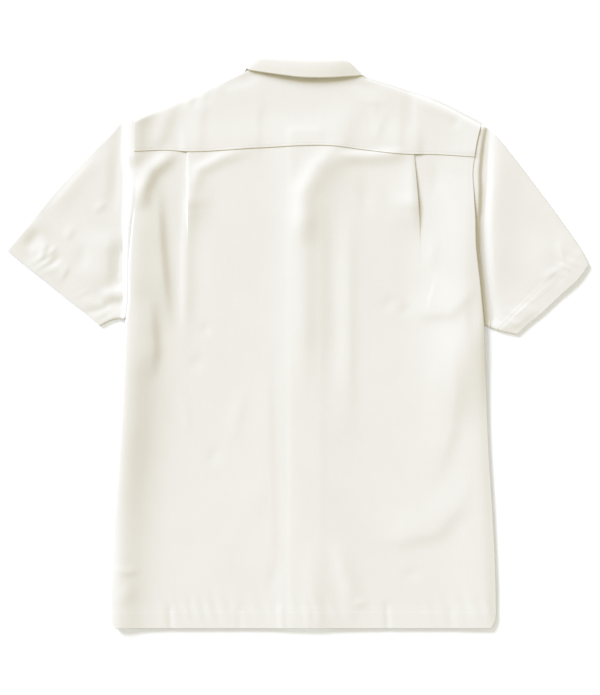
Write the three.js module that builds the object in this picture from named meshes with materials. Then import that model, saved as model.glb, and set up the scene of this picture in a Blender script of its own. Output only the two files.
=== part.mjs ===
// A short-sleeved camp shirt laid flat on its front, so its back, yoke and collar show.
// Millimetres. +X is to the right, +Y towards the collar and +Z up from the surface.
import * as THREE from 'three';

// Driving dimensions
const CLOTH = 1.2;
const COLLAR_CLOTH = 1.5;
const SEAM_GAP = 0.3;
const LAP = 3;
const CENTRE_X = 10;
const HEM_Y = -382;
const BACK_LEVEL = 4.4;
const SLEEVE_LEVEL = 3.8;
const EDGE_ROLL = 9;
const BUTTON_DIAMETER = 11;
const BUTTON_THICKNESS = 2.2;
const BUTTON_COUNT = 6;
const TOP_BUTTON_Y = 250;
const BUTTON_PITCH = 88;
const OVERLAP_HALF = 17;
const OVERLAP_REACH = 30;
const PLACKET_RAMP = 22;
const BESIDE_OVERLAP = 8;
const LAPEL_BREAK_Y = 262;
const LAPEL_WIDTH = 66;
const LAPEL_TIP_DROP = 26;
const NECK_SIDE = 72;
const NECK_FALL = 9;
const FRONT_RAMP_WIDTH = 150;
const UNDERARM_LEFT_Y = 28;
const UNDERARM_RIGHT_Y = 23;
const SHOULDER_LEFT_Y = 303;
const SHOULDER_RIGHT_Y = 292;
const SLEEVE_SETTLE_LEFT = 14;
const SLEEVE_SETTLE_RIGHT = 9;
const PLEAT_RADIUS = 0.75;
const SHORTEST_BEND = 1.6;
const PLEAT_EDGE = 2;
const LAYER = CLOTH + SEAM_GAP;
const LOWEST_TOP_LAYER = LAYER + CLOTH / 2;
const YOKE_EASE = 0.5;
const HIDDEN_SEAM_GAP = 1;
const SLEEVE_CLEARANCE = 0.4;

// Outlines as [x, y], each read upwards
const SIDE_LEFT = [
  [-244, -382], [-250, -372], [-251, -350], [-249, -291], [-243, -184], [-236, -76], [-230, 28],
];
const SIDE_RIGHT = [
  [261, -382], [266, -372], [267, -350], [263, -237], [257, -140], [254, -60], [251, 23],
];
const ARMHOLE_LEFT = [
  [-230, 28], [-226, 58], [-226, 98], [-222, 150], [-217, 190], [-216, 222], [-218, 252], [-218, 303],
];
const ARMHOLE_RIGHT = [
  [251, 23], [245, 84], [240, 130], [239, 168], [234, 200], [233, 228], [238, 249], [241, 272], [247, 292],
];
const SHOULDER_LEFT = [[-218, 303], [-174, 320], [-130, 336], [-98, 350], [-67, 363]];
const SHOULDER_RIGHT = [[88, 356], [138, 340], [180, 326], [209, 312], [247, 292]];
const YOKE_SEAM = [
  [-218, 256], [-177, 258], [-143, 256], [-50, 261], [40, 264], [91, 258], [138, 253], [190, 252], [238, 249],
];
const PLEAT_LEFT_X = -147;
const PLEAT_RIGHT_X = 157;

// How far below the yoke seam, how far the pleat turns and how deep it tucks
const PLEAT_STATIONS = [
  { below: 0, turn: 180, tuck: 14 },
  { below: 40, turn: 178, tuck: 9 },
  { below: 70, turn: 168, tuck: 4 },
  { below: 95, turn: 125, tuck: 1.2 },
  { below: 118, turn: 70, tuck: 1 },
  { below: 145, turn: 28, tuck: 0.8 },
  { below: 185, turn: 8, tuck: 0.8 },
  { below: 240, turn: 3, tuck: 0.8 },
  { below: 340, turn: 3, tuck: 0.8 },
  { below: 640, turn: 3, tuck: 0.8 },
];

// Soft folds: the crest line read upwards or to the right, the rise, and the reach to its left and right
const BODY_FOLDS = [
  {
    name: 'left edge roll',
    crest: [[-238, -340], [-226, -130], [-216, 60], [-208, 230]],
    rise: 3.6, left: 14, right: 34,
  },
  {
    name: 'right edge roll',
    crest: [[238, 60], [230, 130], [229, 230], [236, 275]],
    rise: 4.4, left: 32, right: 12,
  },
  { name: 'right lower roll', crest: [[256, -340], [244, -130], [238, 30]], rise: 2.4, left: 22, right: 12 },
  { name: 'placket ridge', crest: [[4, -390], [4, 240]], rise: 2.2, left: 18, right: 26 },
  { name: 'left pleat crest', crest: [[-146, 40], [-147, 160], [-145, 226]], rise: 1.4, left: 6, right: 12 },
  { name: 'right pleat crest', crest: [[152, 165], [151, 226]], rise: 1.6, left: 12, right: 5 },
  {
    name: 'left branching trough',
    crest: [[-201, 178], [-197, 221], [-164, 250]],
    rise: -3, left: 9, right: 9,
  },
  { name: 'left bow trough', crest: [[-140, 205], [-130, 229], [-76, 255]], rise: -1.8, left: 9, right: 9 },
  { name: 'centre slant ridge', crest: [[-3, 165], [1, 218], [37, 259]], rise: 1.8, left: 14, right: 14 },
  {
    name: 'centre valley',
    crest: [[24, 58], [24, 138], [24, 205], [51, 252]],
    rise: -1.8, left: 12, right: 14,
  },
  {
    name: 'right bow trough',
    crest: [[52, 246], [75, 240], [110, 243], [140, 248]],
    rise: -2.2, left: 9, right: 9,
  },
  { name: 'right centre ridge', crest: [[62, -76], [60, 60], [62, 190]], rise: 1.2, left: 14, right: 10 },
  { name: 'left centre ridge', crest: [[-57, 40], [-57, 160]], rise: 1.2, left: 16, right: 9 },
  {
    name: 'right slant ridge',
    crest: [[178, -163], [201, -117], [206, -40], [200, 40]],
    rise: 2.2, left: 26, right: 11,
  },
  {
    name: 'right arc',
    crest: [[111, -253], [151, -253], [185, -246], [212, -210], [229, -170]],
    rise: 2.4, left: 22, right: 11,
  },
  { name: 'hem fold right', crest: [[71, -350], [64, -290], [51, -250]], rise: 2.2, left: 14, right: 14 },
  { name: 'hem fold centre', crest: [[13, -370], [17, -290], [20, -240]], rise: 1.4, left: 18, right: 12 },
  { name: 'hem fold left', crest: [[-40, -330], [-42, -240]], rise: 1.2, left: 14, right: 12 },
  {
    name: 'left shoulder ridge',
    crest: [[-178, 262], [-166, 298], [-160, 312]],
    rise: 2, left: 16, right: 10,
  },
  { name: 'left yoke ridge', crest: [[-136, 262], [-134, 300]], rise: 1.5, left: 10, right: 9 },
  { name: 'left neck ridge', crest: [[-54, 275], [-56, 325]], rise: 1.2, left: 20, right: 9 },
  { name: 'right neck ridge', crest: [[38, 275], [72, 318]], rise: 1.4, left: 16, right: 10 },
  { name: 'right neck trough', crest: [[70, 272], [88, 300]], rise: -1.8, left: 10, right: 10 },
  { name: 'right shoulder trough', crest: [[138, 270], [140, 325]], rise: -1.4, left: 10, right: 10 },
];
const LEFT_SLEEVE_FOLDS = [
  { name: 'cap groove', crest: [[-238, 200], [-239, 285]], rise: -1.2, left: 8, right: 6 },
  { name: 'cap puff', crest: [[-262, 190], [-256, 262]], rise: 1.6, left: 26, right: 14 },
  { name: 'tuck by the body', crest: [[-240, 80], [-240, 140]], rise: -1.2, left: 14, right: 10 },
  { name: 'hem puff', crest: [[-352, 112], [-318, 92]], rise: 1.6, left: 18, right: 18 },
  { name: 'underarm puff', crest: [[-292, 78], [-262, 66]], rise: 1.6, left: 16, right: 16 },
];
const RIGHT_SLEEVE_FOLDS = [
  { name: 'gap beside the body', crest: [[248, 40], [249, 120], [249, 280]], rise: -1.2, left: 6, right: 7 },
  { name: 'cap ridge', crest: [[264, 60], [264, 150], [266, 262]], rise: 2.6, left: 8, right: 14 },
  { name: 'middle ridge', crest: [[324, 75], [326, 160]], rise: 1.6, left: 22, right: 26 },
  { name: 'underarm puff', crest: [[276, 36], [304, 44]], rise: 1.8, left: 16, right: 14 },
];

// The collar from its left end, under the shirt, round the back neck to its right end:
// where it is sewn, where it folds over, where its leaf ends, and which way its leaf faces
const COLLAR_STATIONS = [
  { seam: [-44, 330, 2.6], fold: [-37, 331, 1.7], edge: [-92, 303, 0.85], faces: 270 },
  { seam: [-56, 343, 2.6], fold: [-50, 347, 1.7], edge: [-92, 328, 0.85], faces: 270 },
  { seam: [-63, 352, 2.9], fold: [-58, 366, 2.4], edge: [-84, 350, 1.1], faces: 255 },
  { seam: [-64, 355, 4.6], fold: [-59.5, 378, 5.2], edge: [-70.5, 365.5, 4.8], faces: 180 },
  { seam: [-56, 352, 6.2], fold: [-49, 382.5, 8.4], edge: [-62, 366, 9.4], faces: 105 },
  { seam: [-28, 349, 6.6], fold: [-27, 380.5, 10], edge: [-24, 361, 11.2], faces: 90 },
  { seam: [10, 347, 6.8], fold: [10, 378.5, 10.6], edge: [8, 357.5, 12], faces: 90 },
  { seam: [46, 346, 6.6], fold: [44, 378.5, 10], edge: [44, 357, 11.4], faces: 90 },
  { seam: [74, 347, 6.2], fold: [63, 378.5, 8.4], edge: [76, 358.5, 9.4], faces: 75 },
  { seam: [83, 348, 4.6], fold: [75, 370, 5.2], edge: [90, 356.5, 4.8], faces: 0 },
  { seam: [82, 344, 2.9], fold: [78, 357, 2.4], edge: [103, 341, 1.1], faces: -75 },
  { seam: [76, 335, 2.6], fold: [70, 339, 1.7], edge: [113, 320, 0.85], faces: -90 },
  { seam: [64, 322, 2.6], fold: [57, 323, 1.7], edge: [112, 295, 0.85], faces: -90 },
];
const COLLAR_LOFT = 1.6;

// Sleeve outlines: shoulder fold and underarm read from the armhole, hem read from the underarm
const LEFT_SLEEVE = {
  upper: [[-218, 303], [-236, 297], [-246, 285], [-272, 259], [-323, 205], [-367, 151], [-389, 125]],
  under: [[-230, 30], [-244, 33], [-253, 27], [-263, 22]],
  hem: [[-263, 22], [-285, 42], [-311, 62], [-338, 84], [-371, 110], [-389, 125]],
};
const RIGHT_SLEEVE = {
  upper: [[247, 292], [257, 287], [267, 278], [285, 256], [312, 221], [358, 159], [383, 122], [391, 106]],
  under: [[251, 23], [261, 19], [273, 15], [293, 11]],
  hem: [[293, 11], [312, 28], [326, 39], [352, 63], [379, 88], [391, 106]],
};

const CREAM = 0xf0eee8;
const COLLAR_CREAM = 0xf5f4ef;
const BUTTON_WHITE = 0xeeebe2;

const { lerp, clamp, smoothstep, degToRad } = THREE.MathUtils;

// The value at a place in a table of [value, place] rows, passing smoothly through each row
function readTable(rows, place, valueAt = 0, placeAt = 1) {
  const last = rows.length - 1;
  const at = clamp(place, rows[0][placeAt], rows[last][placeAt]);
  let i = 0;
  while (i < last - 1 && rows[i + 1][placeAt] < at) {
    i += 1;
  }
  const slope = (a, b) => (rows[b][valueAt] - rows[a][valueAt]) / (rows[b][placeAt] - rows[a][placeAt]);
  const span = rows[i + 1][placeAt] - rows[i][placeAt];
  const here = slope(i, i + 1);
  const before = i > 0 ? (slope(i - 1, i) + here) / 2 : here;
  const after = i < last - 1 ? (slope(i + 1, i + 2) + here) / 2 : here;
  const t = (at - rows[i][placeAt]) / span;
  const ease = t * t * (3 - 2 * t);
  const start = t * (1 - t) * (1 - t) * span * before;
  const end = t * t * (1 - t) * span * after;
  return lerp(rows[i][valueAt], rows[i + 1][valueAt], ease) + start - end;
}

// A point of a smooth plan curve through a list of [x, y], from 0 at its start to 1 at its end
function planCurve(points) {
  const through = points.map(([x, y]) => new THREE.Vector3(x, y, 0));
  const curve = new THREE.CatmullRomCurve3(through, false, 'centripetal');
  return (t) => curve.getPointAt(clamp(t, 0, 1));
}

// The height that one soft fold adds at a place
function foldHeight(fold, x, y) {
  let best = Infinity;
  let reach = fold.left;
  for (let i = 0; i < fold.crest.length - 1; i += 1) {
    const [ax, ay] = fold.crest[i];
    const [bx, by] = fold.crest[i + 1];
    const dx = bx - ax;
    const dy = by - ay;
    const t = clamp(((x - ax) * dx + (y - ay) * dy) / (dx * dx + dy * dy), 0, 1);
    const away = Math.hypot(x - ax - t * dx, y - ay - t * dy);
    if (away < best) {
      best = away;
      reach = dx * (y - ay) - dy * (x - ax) > 0 ? fold.left : fold.right;
    }
  }
  return fold.rise * Math.exp(-((best / reach) ** 2));
}

function foldsHeight(folds, x, y) {
  return folds.reduce((sum, fold) => sum + foldHeight(fold, x, y), 0);
}

const seamY = (x) => readTable(YOKE_SEAM, x, 1, 0);
const leftEdge = (y) => readTable(y < UNDERARM_LEFT_Y ? SIDE_LEFT : ARMHOLE_LEFT, y);
const rightEdge = (y) => readTable(y < UNDERARM_RIGHT_Y ? SIDE_RIGHT : ARMHOLE_RIGHT, y);

// The top edge of the back: the shoulder folds, and the curve of the back neck between them
function topEdge(x) {
  if (x < SHOULDER_LEFT.at(-1)[0]) {
    return readTable(SHOULDER_LEFT, x, 1, 0);
  }
  if (x > SHOULDER_RIGHT[0][0]) {
    return readTable(SHOULDER_RIGHT, x, 1, 0);
  }
  const seams = COLLAR_STATIONS.slice(3, 10).map(({ seam }) => seam);
  return readTable(seams, x, 1, 0) - 1;
}

// The pleat's turn and tuck at a distance below the yoke seam
function pleatAt(below) {
  const rows = PLEAT_STATIONS.map((row) => [row.turn, row.tuck, row.below]);
  return { turn: degToRad(readTable(rows, below, 0, 2)), tuck: readTable(rows, below, 1, 2) };
}

// The knife pleat's section from the side panel up to the centre panel, as [across, up] from its fold edge
function pleatSection(below) {
  const { turn, tuck } = pleatAt(below);
  const radius = Math.max(PLEAT_RADIUS, SHORTEST_BEND / turn);
  const steps = [0, 0.5, 1];
  const arcAcross = radius * Math.sin(turn);
  const arcUp = radius * (1 - Math.cos(turn));
  const lower = steps.map((t) => [
    radius * Math.sin(turn * t) - arcAcross - tuck * Math.cos(turn),
    radius * (1 - Math.cos(turn * t)),
  ]);
  const upper = steps.map((t) => [
    radius * (Math.sin(turn) - Math.sin(turn * (1 - t))),
    arcUp + tuck * Math.sin(turn) + radius * (Math.cos(turn * (1 - t)) - Math.cos(turn)),
  ]);
  return [...lower, ...upper].map(([across, up]) => [across + PLEAT_RADIUS, up]);
}

const pleatRise = (below) => pleatSection(below).at(-1)[1];

// How high the cloth between the pleats lies over the side panels
function centreLift(x, y, margin) {
  const below = Math.max(seamY(x) - y, 0);
  const inside = smoothstep(x, PLEAT_LEFT_X - margin, PLEAT_LEFT_X - 1)
    * (1 - smoothstep(x, PLEAT_RIGHT_X + 1, PLEAT_RIGHT_X + margin));
  return inside * pleatRise(below);
}

// How far the fronts are lifted by the buttons, the lapels and the collar's ends that lie under them
function frontLift(side, x, y) {
  const across = side * (x - CENTRE_X);
  const buttons = BUTTON_THICKNESS + SEAM_GAP;
  const overlap = side < 0 ? buttons : buttons + LAYER;
  const rampStart = side < 0 ? OVERLAP_HALF + 1 : OVERLAP_HALF + 3;
  const placket = overlap * (1 - smoothstep(across, rampStart, rampStart + PLACKET_RAMP));
  const neck = COLLAR_CLOTH + SEAM_GAP;
  const nearNeck = smoothstep(y, LAPEL_BREAK_Y - 12, LAPEL_BREAK_Y + 12) * (1 - smoothstep(across, 125, 150));
  const faded = placket * (1 - smoothstep(y, LAPEL_BREAK_Y + 20, LAPEL_BREAK_Y + 44));
  return Math.max(faded, neck * nearNeck);
}

// The top of the fronts at a place under the back
function frontTop(x, y) {
  const left = x < CENTRE_X + OVERLAP_REACH ? frontLift(-1, x, y) : 0;
  const right = x > CENTRE_X - OVERLAP_REACH ? frontLift(1, x, y) : 0;
  return CLOTH + Math.max(left, right);
}

// A rounded edge: 0 at the edge, rising to 1 at the edge roll's width
function edgeRoll(distance, width) {
  const t = 1 - clamp(distance / width, 0, 1);
  return Math.sqrt(1 - t * t);
}

// The middle of the back's cloth at a place, before its edges turn down
function backHeight(x, y) {
  const height = BACK_LEVEL + foldsHeight(BODY_FOLDS, x, y);
  const beneath = Math.max(frontTop(x - BESIDE_OVERLAP, y), frontTop(x + BESIDE_OVERLAP, y));
  return Math.max(height, beneath + SEAM_GAP + CLOTH / 2);
}

// A closed wall of cloth about a grid of points on its middle, closed across for a tube
function wall(name, grid, thickness, colour, tube = false) {
  const rows = grid.length;
  const columns = grid[0].length;
  const across = (j) => (tube ? (j + columns) % columns : clamp(j, 0, columns - 1));
  const positions = [];
  const normalAt = (i, j) => {
    const along = grid[Math.min(i + 1, rows - 1)][j].clone().sub(grid[Math.max(i - 1, 0)][j]);
    const over = grid[i][across(j + 1)].clone().sub(grid[i][across(j - 1)]);
    return over.cross(along).normalize();
  };
  for (const face of [0.5, -0.5]) {
    for (let i = 0; i < rows; i += 1) {
      for (let j = 0; j < columns; j += 1) {
        const point = grid[i][j].clone().addScaledVector(normalAt(i, j), face * thickness);
        positions.push(point.x, point.y, Math.max(point.z, 0));
      }
    }
  }
  const inner = rows * columns;
  const index = [];
  const quad = (a, b, c, d) => index.push(a, b, c, a, c, d);
  const steps = tube ? columns : columns - 1;
  for (let i = 0; i < rows - 1; i += 1) {
    for (let j = 0; j < steps; j += 1) {
      const a = i * columns + j;
      const b = i * columns + across(j + 1);
      quad(a, b, b + columns, a + columns);
      quad(inner + b, inner + a, inner + a + columns, inner + b + columns);
    }
  }
  const top = (rows - 1) * columns;
  for (let j = 0; j < steps; j += 1) {
    const next = across(j + 1);
    quad(next, j, inner + j, inner + next);
    quad(top + j, top + next, inner + top + next, inner + top + j);
  }
  if (!tube) {
    for (let i = 0; i < rows - 1; i += 1) {
      const left = i * columns;
      const right = left + columns - 1;
      quad(left, left + columns, inner + left + columns, inner + left);
      quad(right + columns, right, inner + right, inner + right + columns);
    }
  }
  const geometry = new THREE.BufferGeometry();
  geometry.setAttribute('position', new THREE.Float32BufferAttribute(positions, 3));
  geometry.setIndex(index);
  return named(name, geometry, colour, 0.85);
}

function named(name, geometry, colour, roughness) {
  const finish = new THREE.MeshStandardMaterial({ color: colour, roughness, metalness: 0 });
  const mesh = new THREE.Mesh(geometry, finish);
  mesh.name = name;
  return mesh;
}

// Distances in from an edge that turns down, closest together at the edge
const EDGE_STEPS = [0, 0.5, 1.6, 3.4, 6, EDGE_ROLL];

function evenSteps(from, to, count) {
  return Array.from({ length: count }, (_, i) => lerp(from, to, (i + 1) / (count + 1)));
}

// The height of the back near its side edges, where it turns down onto the front or the sleeve
function turnedDown(x, y, height) {
  const low = frontTop(x, y) + SEAM_GAP;
  const seat = low + (LAYER + SLEEVE_CLEARANCE) * smoothstep(y, 0, UNDERARM_RIGHT_Y);
  const besideLeftSleeve = smoothstep(y, 110, 190);
  const besideRightSleeve = smoothstep(y, 150, 215);
  const left = lerp(edgeRoll(x - leftEdge(y) - CLOTH / 2, EDGE_ROLL), 1, besideLeftSleeve);
  const right = lerp(edgeRoll(rightEdge(y) - x - CLOTH / 2, EDGE_ROLL), 1, besideRightSleeve);
  return lerp(Math.min(seat, height), height, left * right);
}

// Steps across a side panel, from its outer edge to the pleat
function sidePanelSteps(width) {
  return [...EDGE_STEPS, ...evenSteps(EDGE_ROLL, width, 5)];
}

function makeBack() {
  const rowPlaces = [0, 0.012, 0.03, ...evenSteps(0.03, 0.62, 10), ...evenSteps(0.6, 0.985, 12), 0.985, 1];
  const grid = rowPlaces.map((v) => {
    const rowY = (x) => lerp(HEM_Y, seamY(x) + 2 * LAP, v);
    const place = (x, y, lift) => new THREE.Vector3(x, y, turnedDown(x, y, backHeight(x, y)) + lift);
    const sidePanel = (side, pleatX) => {
      const edgeAt = side < 0 ? leftEdge : rightEdge;
      const y = rowY(edgeAt(lerp(HEM_Y, seamY(pleatX), v)));
      const start = edgeAt(y) - side * CLOTH / 2;
      const width = Math.abs(pleatX + side * PLEAT_EDGE - start);
      return sidePanelSteps(width).map((inset) => place(start - side * inset, y, 0));
    };
    const pleat = (foldX) => {
      const y = rowY(foldX);
      const base = backHeight(foldX, y);
      const direction = foldX < 0 ? 1 : -1;
      return pleatSection(Math.max(seamY(foldX) - y, 0)).map(
        ([across, up]) => new THREE.Vector3(foldX + direction * across, y, base + up),
      );
    };
    const lift = pleatRise(Math.max(seamY(0) - rowY(0), 0));
    const centre = evenSteps(PLEAT_LEFT_X + PLEAT_EDGE, PLEAT_RIGHT_X - PLEAT_EDGE, 19);
    return [
      ...sidePanel(-1, PLEAT_LEFT_X),
      ...pleat(PLEAT_LEFT_X),
      ...centre.map((x) => place(x, rowY(x), lift)),
      ...pleat(PLEAT_RIGHT_X).reverse(),
      ...sidePanel(1, PLEAT_RIGHT_X).reverse(),
    ];
  });
  return wall('back_panel', grid, CLOTH, CREAM);
}

function makeYoke() {
  const acrossPlaces = [0, 0.006, 0.02, ...evenSteps(0.02, 0.98, 30), 0.98, 0.994, 1];
  const upPlaces = [0, 0.18, 0.36, 0.54, 0.76];
  const point = (u, rowOf) => {
    const y = rowOf(lerp(YOKE_SEAM[0][0], YOKE_SEAM.at(-1)[0], u));
    const x = lerp(leftEdge(y) + CLOTH / 2, rightEdge(y) - CLOTH / 2, u);
    const fromLeft = smoothstep(x, -NECK_SIDE, -NECK_SIDE + 8);
    const neck = fromLeft * (1 - smoothstep(x, NECK_SIDE + 12, NECK_SIDE + 20));
    const shoulder = lerp(topEdge(x) - CLOTH / 2 - y, EDGE_ROLL, neck);
    const height = backHeight(x, y) + centreLift(x, y, 12) + LAYER + YOKE_EASE;
    const low = frontTop(x, y) + SEAM_GAP + CLOTH / 2;
    return new THREE.Vector3(x, y, lerp(Math.min(low, height), height, edgeRoll(shoulder, EDGE_ROLL)));
  };
  const panelRow = (v) => acrossPlaces.map((u) => point(u, (x) => lerp(seamY(x), topEdge(x) - EDGE_ROLL, v)));
  const edgeRow = (inset) => acrossPlaces.map((u) => point(u, (x) => topEdge(x) - CLOTH / 2 - inset));
  const grid = [...upPlaces.map(panelRow), ...[...EDGE_STEPS].reverse().map(edgeRow)];
  return wall('back_yoke', grid, CLOTH, CREAM);
}

// One front with its lapel folded back under it; side -1 is the left front and 1 the right
function makeFront(name, side) {
  const rollTop = side < 0 ? 358 : 348;
  const neckTop = rollTop - NECK_FALL;
  const underarm = side < 0 ? UNDERARM_LEFT_Y : UNDERARM_RIGHT_Y;
  const shoulderPoint = side < 0 ? SHOULDER_LEFT_Y : SHOULDER_RIGHT_Y;
  const edgeAt = side < 0 ? leftEdge : rightEdge;
  const shoulderAt = (y) => readTable(side < 0 ? SHOULDER_LEFT : [...SHOULDER_RIGHT].reverse(), y);
  const outerAt = (y) => side * ((y < shoulderPoint ? edgeAt(y) : shoulderAt(y)) - CENTRE_X);
  const seams = side < 0 ? COLLAR_STATIONS.slice(0, 4) : COLLAR_STATIONS.slice(9).reverse();
  const seamRows = seams.map(({ seam }) => [side * (seam[0] - CENTRE_X), seam[1]]);
  const gorgeY = seamRows[0][1];
  const upRoll = (y) => clamp((y - LAPEL_BREAK_Y) / (rollTop - LAPEL_BREAK_Y), 0, 1);
  const rollAt = (y) => lerp(-OVERLAP_HALF, NECK_SIDE, upRoll(y));
  const tipY = gorgeY - LAPEL_TIP_DROP;
  const lapelStart = side < 0 ? LAPEL_BREAK_Y : LAPEL_BREAK_Y + 22;
  const lapelWidth = (y) => {
    if (y <= lapelStart || y > gorgeY - 3) {
      return 0;
    }
    const lapelTop = gorgeY - 2;
    const toTip = y < tipY ? (y - lapelStart) / (tipY - lapelStart) : (lapelTop - y) / (lapelTop - tipY);
    return LAPEL_WIDTH * toTip;
  };
  const hem = evenSteps(HEM_Y, underarm, 5);
  const armhole = evenSteps(underarm, lapelStart - 3, 4);
  const neck = [lapelStart - 3, lapelStart, lapelStart + 3, ...evenSteps(lapelStart + 3, tipY, 2), tipY];
  const gorge = [tipY + 9, tipY + 17, gorgeY - 3, gorgeY - 1.4];
  const shoulder = [gorgeY + 3, lerp(gorgeY, neckTop, 0.4), lerp(gorgeY, neckTop, 0.7), neckTop];
  const grid = [HEM_Y, HEM_Y + 10, ...hem, underarm, ...armhole, ...neck, ...gorge, ...shoulder].map((y) => {
    const lapel = lapelWidth(y);
    const outer = outerAt(y) - (y >= underarm && y < shoulderPoint ? HIDDEN_SEAM_GAP : 0);
    const inner = y > gorgeY - 3 ? readTable(seamRows, y) + 1.2 : rollAt(y);
    const squeeze = Math.min(1, (outer - inner) / FRONT_RAMP_WIDTH);
    const ramp = [90, 62, 56, 50, 44, 37, 20, lapel > 0 ? 1 : 5].map((inset) => inner + inset * squeeze);
    const body = [outer, lerp(outer, ramp[0], 0.33), lerp(outer, ramp[0], 0.67), ...ramp].map((across) => {
      const x = CENTRE_X + side * across;
      return new THREE.Vector3(x, y, CLOTH / 2 + frontLift(side, x, y));
    });
    const innerX = CENTRE_X + side * inner;
    const lift = frontLift(side, innerX, y);
    const at = (across, z) => new THREE.Vector3(CENTRE_X + side * across, y, z);
    const flat = [4, 3, 2, 1, 0].map((inset) => at(inner + inset * squeeze, CLOTH / 2 + lift));
    const folded = [
      at(inner + 0.3, CLOTH / 2 + lift * 0.8),
      at(inner, CLOTH / 2 + lift * 0.5),
      at(inner + 0.3, CLOTH / 2 + lift * 0.2),
      at(inner + 1, CLOTH / 2),
      at(inner + 1 + lapel, CLOTH / 2),
    ];
    return [...body, ...(lapel > 0 ? folded : flat)];
  });
  return wall(name, grid, CLOTH, CREAM);
}

// A flattened sleeve: rings from the armhole to the hem, each over its top layer and back under it
function makeSleeve(name, side, outline, folds) {
  const edgeAt = side < 0 ? leftEdge : rightEdge;
  const upper = planCurve(outline.upper);
  const under = planCurve(outline.under);
  const hem = planCurve(outline.hem);
  const [bottomY, topY] = [outline.under[0][1], outline.upper[0][1]];
  const armhole = (t) => {
    const y = lerp(bottomY, topY, t);
    return new THREE.Vector3(edgeAt(y), y, 0);
  };
  const corner = (a, b) => (a ? hem(b) : armhole(b));
  const plan = (s, t) => {
    const point = armhole(t).multiplyScalar(1 - s).addScaledVector(hem(t), s);
    point.addScaledVector(under(s), 1 - t).addScaledVector(upper(s), t);
    point.addScaledVector(corner(0, 0), -(1 - s) * (1 - t)).addScaledVector(corner(0, 1), -(1 - s) * t);
    return point.addScaledVector(corner(1, 0), -s * (1 - t)).addScaledVector(corner(1, 1), -s * t);
  };
  const stations = [0, 0.012, 0.03, 0.05, 0.08, 0.12, 0.18, 0.27, 0.39, 0.53, 0.68, 0.84, 1];
  const overPlaces = [0.03, 0.07, 0.14, 0.23, 0.32, 0.42, 0.52, 0.62, 0.71, 0.8, 0.88, 0.94, 0.975];
  const grid = stations.map((s) => {
    const tucked = 1 - smoothstep(s, 0, 0.03);
    const level = (x, y) => {
      const seam = turnedSeam(side, y);
      const away = Math.max(Math.abs(x - edgeAt(clamp(y, bottomY, topY))) - LAP, 0);
      const own = Math.max(SLEEVE_LEVEL + foldsHeight(folds, x, y), LOWEST_TOP_LAYER);
      return lerp(seam, own, smoothstep(away, 0, side < 0 ? SLEEVE_SETTLE_LEFT : SLEEVE_SETTLE_RIGHT));
    };
    const span = plan(s, 1).sub(plan(s, 0));
    const direction = span.clone().normalize();
    const top = (t) => {
      const point = plan(s, t);
      point.z = level(point.x, point.y);
      point.x -= side * LAP * tucked;
      return point;
    };
    const bottom = (t) => {
      const point = plan(s, t);
      point.z = CLOTH / 2;
      point.x += side * HIDDEN_SEAM_GAP * tucked;
      return point;
    };
    const bend = (t, sign) => {
      const high = top(t);
      const low = bottom(t);
      const tip = (t > 0.5 ? plan(s, 1) : plan(s, 0)).addScaledVector(direction, -sign * CLOTH / 2);
      tip.z = (high.z + low.z) / 2;
      const shoulderUp = tip.clone().lerp(high, 0.3).setZ(lerp(tip.z, high.z, 0.72));
      const shoulderDown = tip.clone().lerp(low, 0.3).setZ(lerp(tip.z, low.z, 0.72));
      return [shoulderUp, tip, shoulderDown];
    };
    const over = [...overPlaces].reverse().map(top);
    const beneath = overPlaces.filter((_, i) => i % 2 === 0).map(bottom);
    return [...over, ...bend(0.03, -1), ...beneath, ...bend(0.975, 1).reverse()];
  });
  return wall(name, grid, CLOTH, CREAM, true);
}

// The middle of the sleeve's cloth where it passes under the body's armhole edge
function turnedSeam(side, y) {
  const x = side < 0 ? leftEdge(y) + CLOTH / 2 : rightEdge(y) - CLOTH / 2;
  const height = turnedDown(x, y, backHeight(x, y));
  return Math.max(height - LAYER - 0.2, LOWEST_TOP_LAYER);
}

// The collar's section at a station: up its stand, over the fold and down its leaf
function collarSection({ seam, fold, edge, faces }) {
  const at = ([x, y, z]) => new THREE.Vector3(x, y, z);
  const out = new THREE.Vector3(Math.cos(degToRad(faces)), 0, Math.sin(degToRad(faces)));
  const loft = lerp(0.9, COLLAR_LOFT, clamp((at(fold).z - 2) / 6, 0, 1));
  const between = (a, b, t, away) => at(a).lerp(at(b), t).addScaledVector(out, away);
  return [
    at(seam),
    between(seam, fold, 0.45, -loft * 0.7),
    between(seam, fold, 0.88, -loft),
    at(fold).addScaledVector(at(fold).sub(at(seam)).normalize(), loft * 0.8),
    between(fold, edge, 0.12, loft),
    between(fold, edge, 0.5, loft * 0.8),
    at(edge),
  ];
}

function makeCollar() {
  const sections = COLLAR_STATIONS.map(collarSection);
  const lines = sections[0].map((_, k) => {
    const along = sections.map((section) => section[k]);
    return new THREE.CatmullRomCurve3(along, false, 'centripetal');
  });
  const lastStation = COLLAR_STATIONS.length - 1;
  const rowCount = lastStation * 2;
  const grid = Array.from({ length: rowCount + 1 }, (_, i) => {
    const through = lines.map((line) => line.getPoint(i / rowCount));
    const section = new THREE.CatmullRomCurve3(through, false, 'centripetal');
    return section.getPoints(11);
  });
  return wall('collar', grid, COLLAR_CLOTH, COLLAR_CREAM);
}

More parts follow.
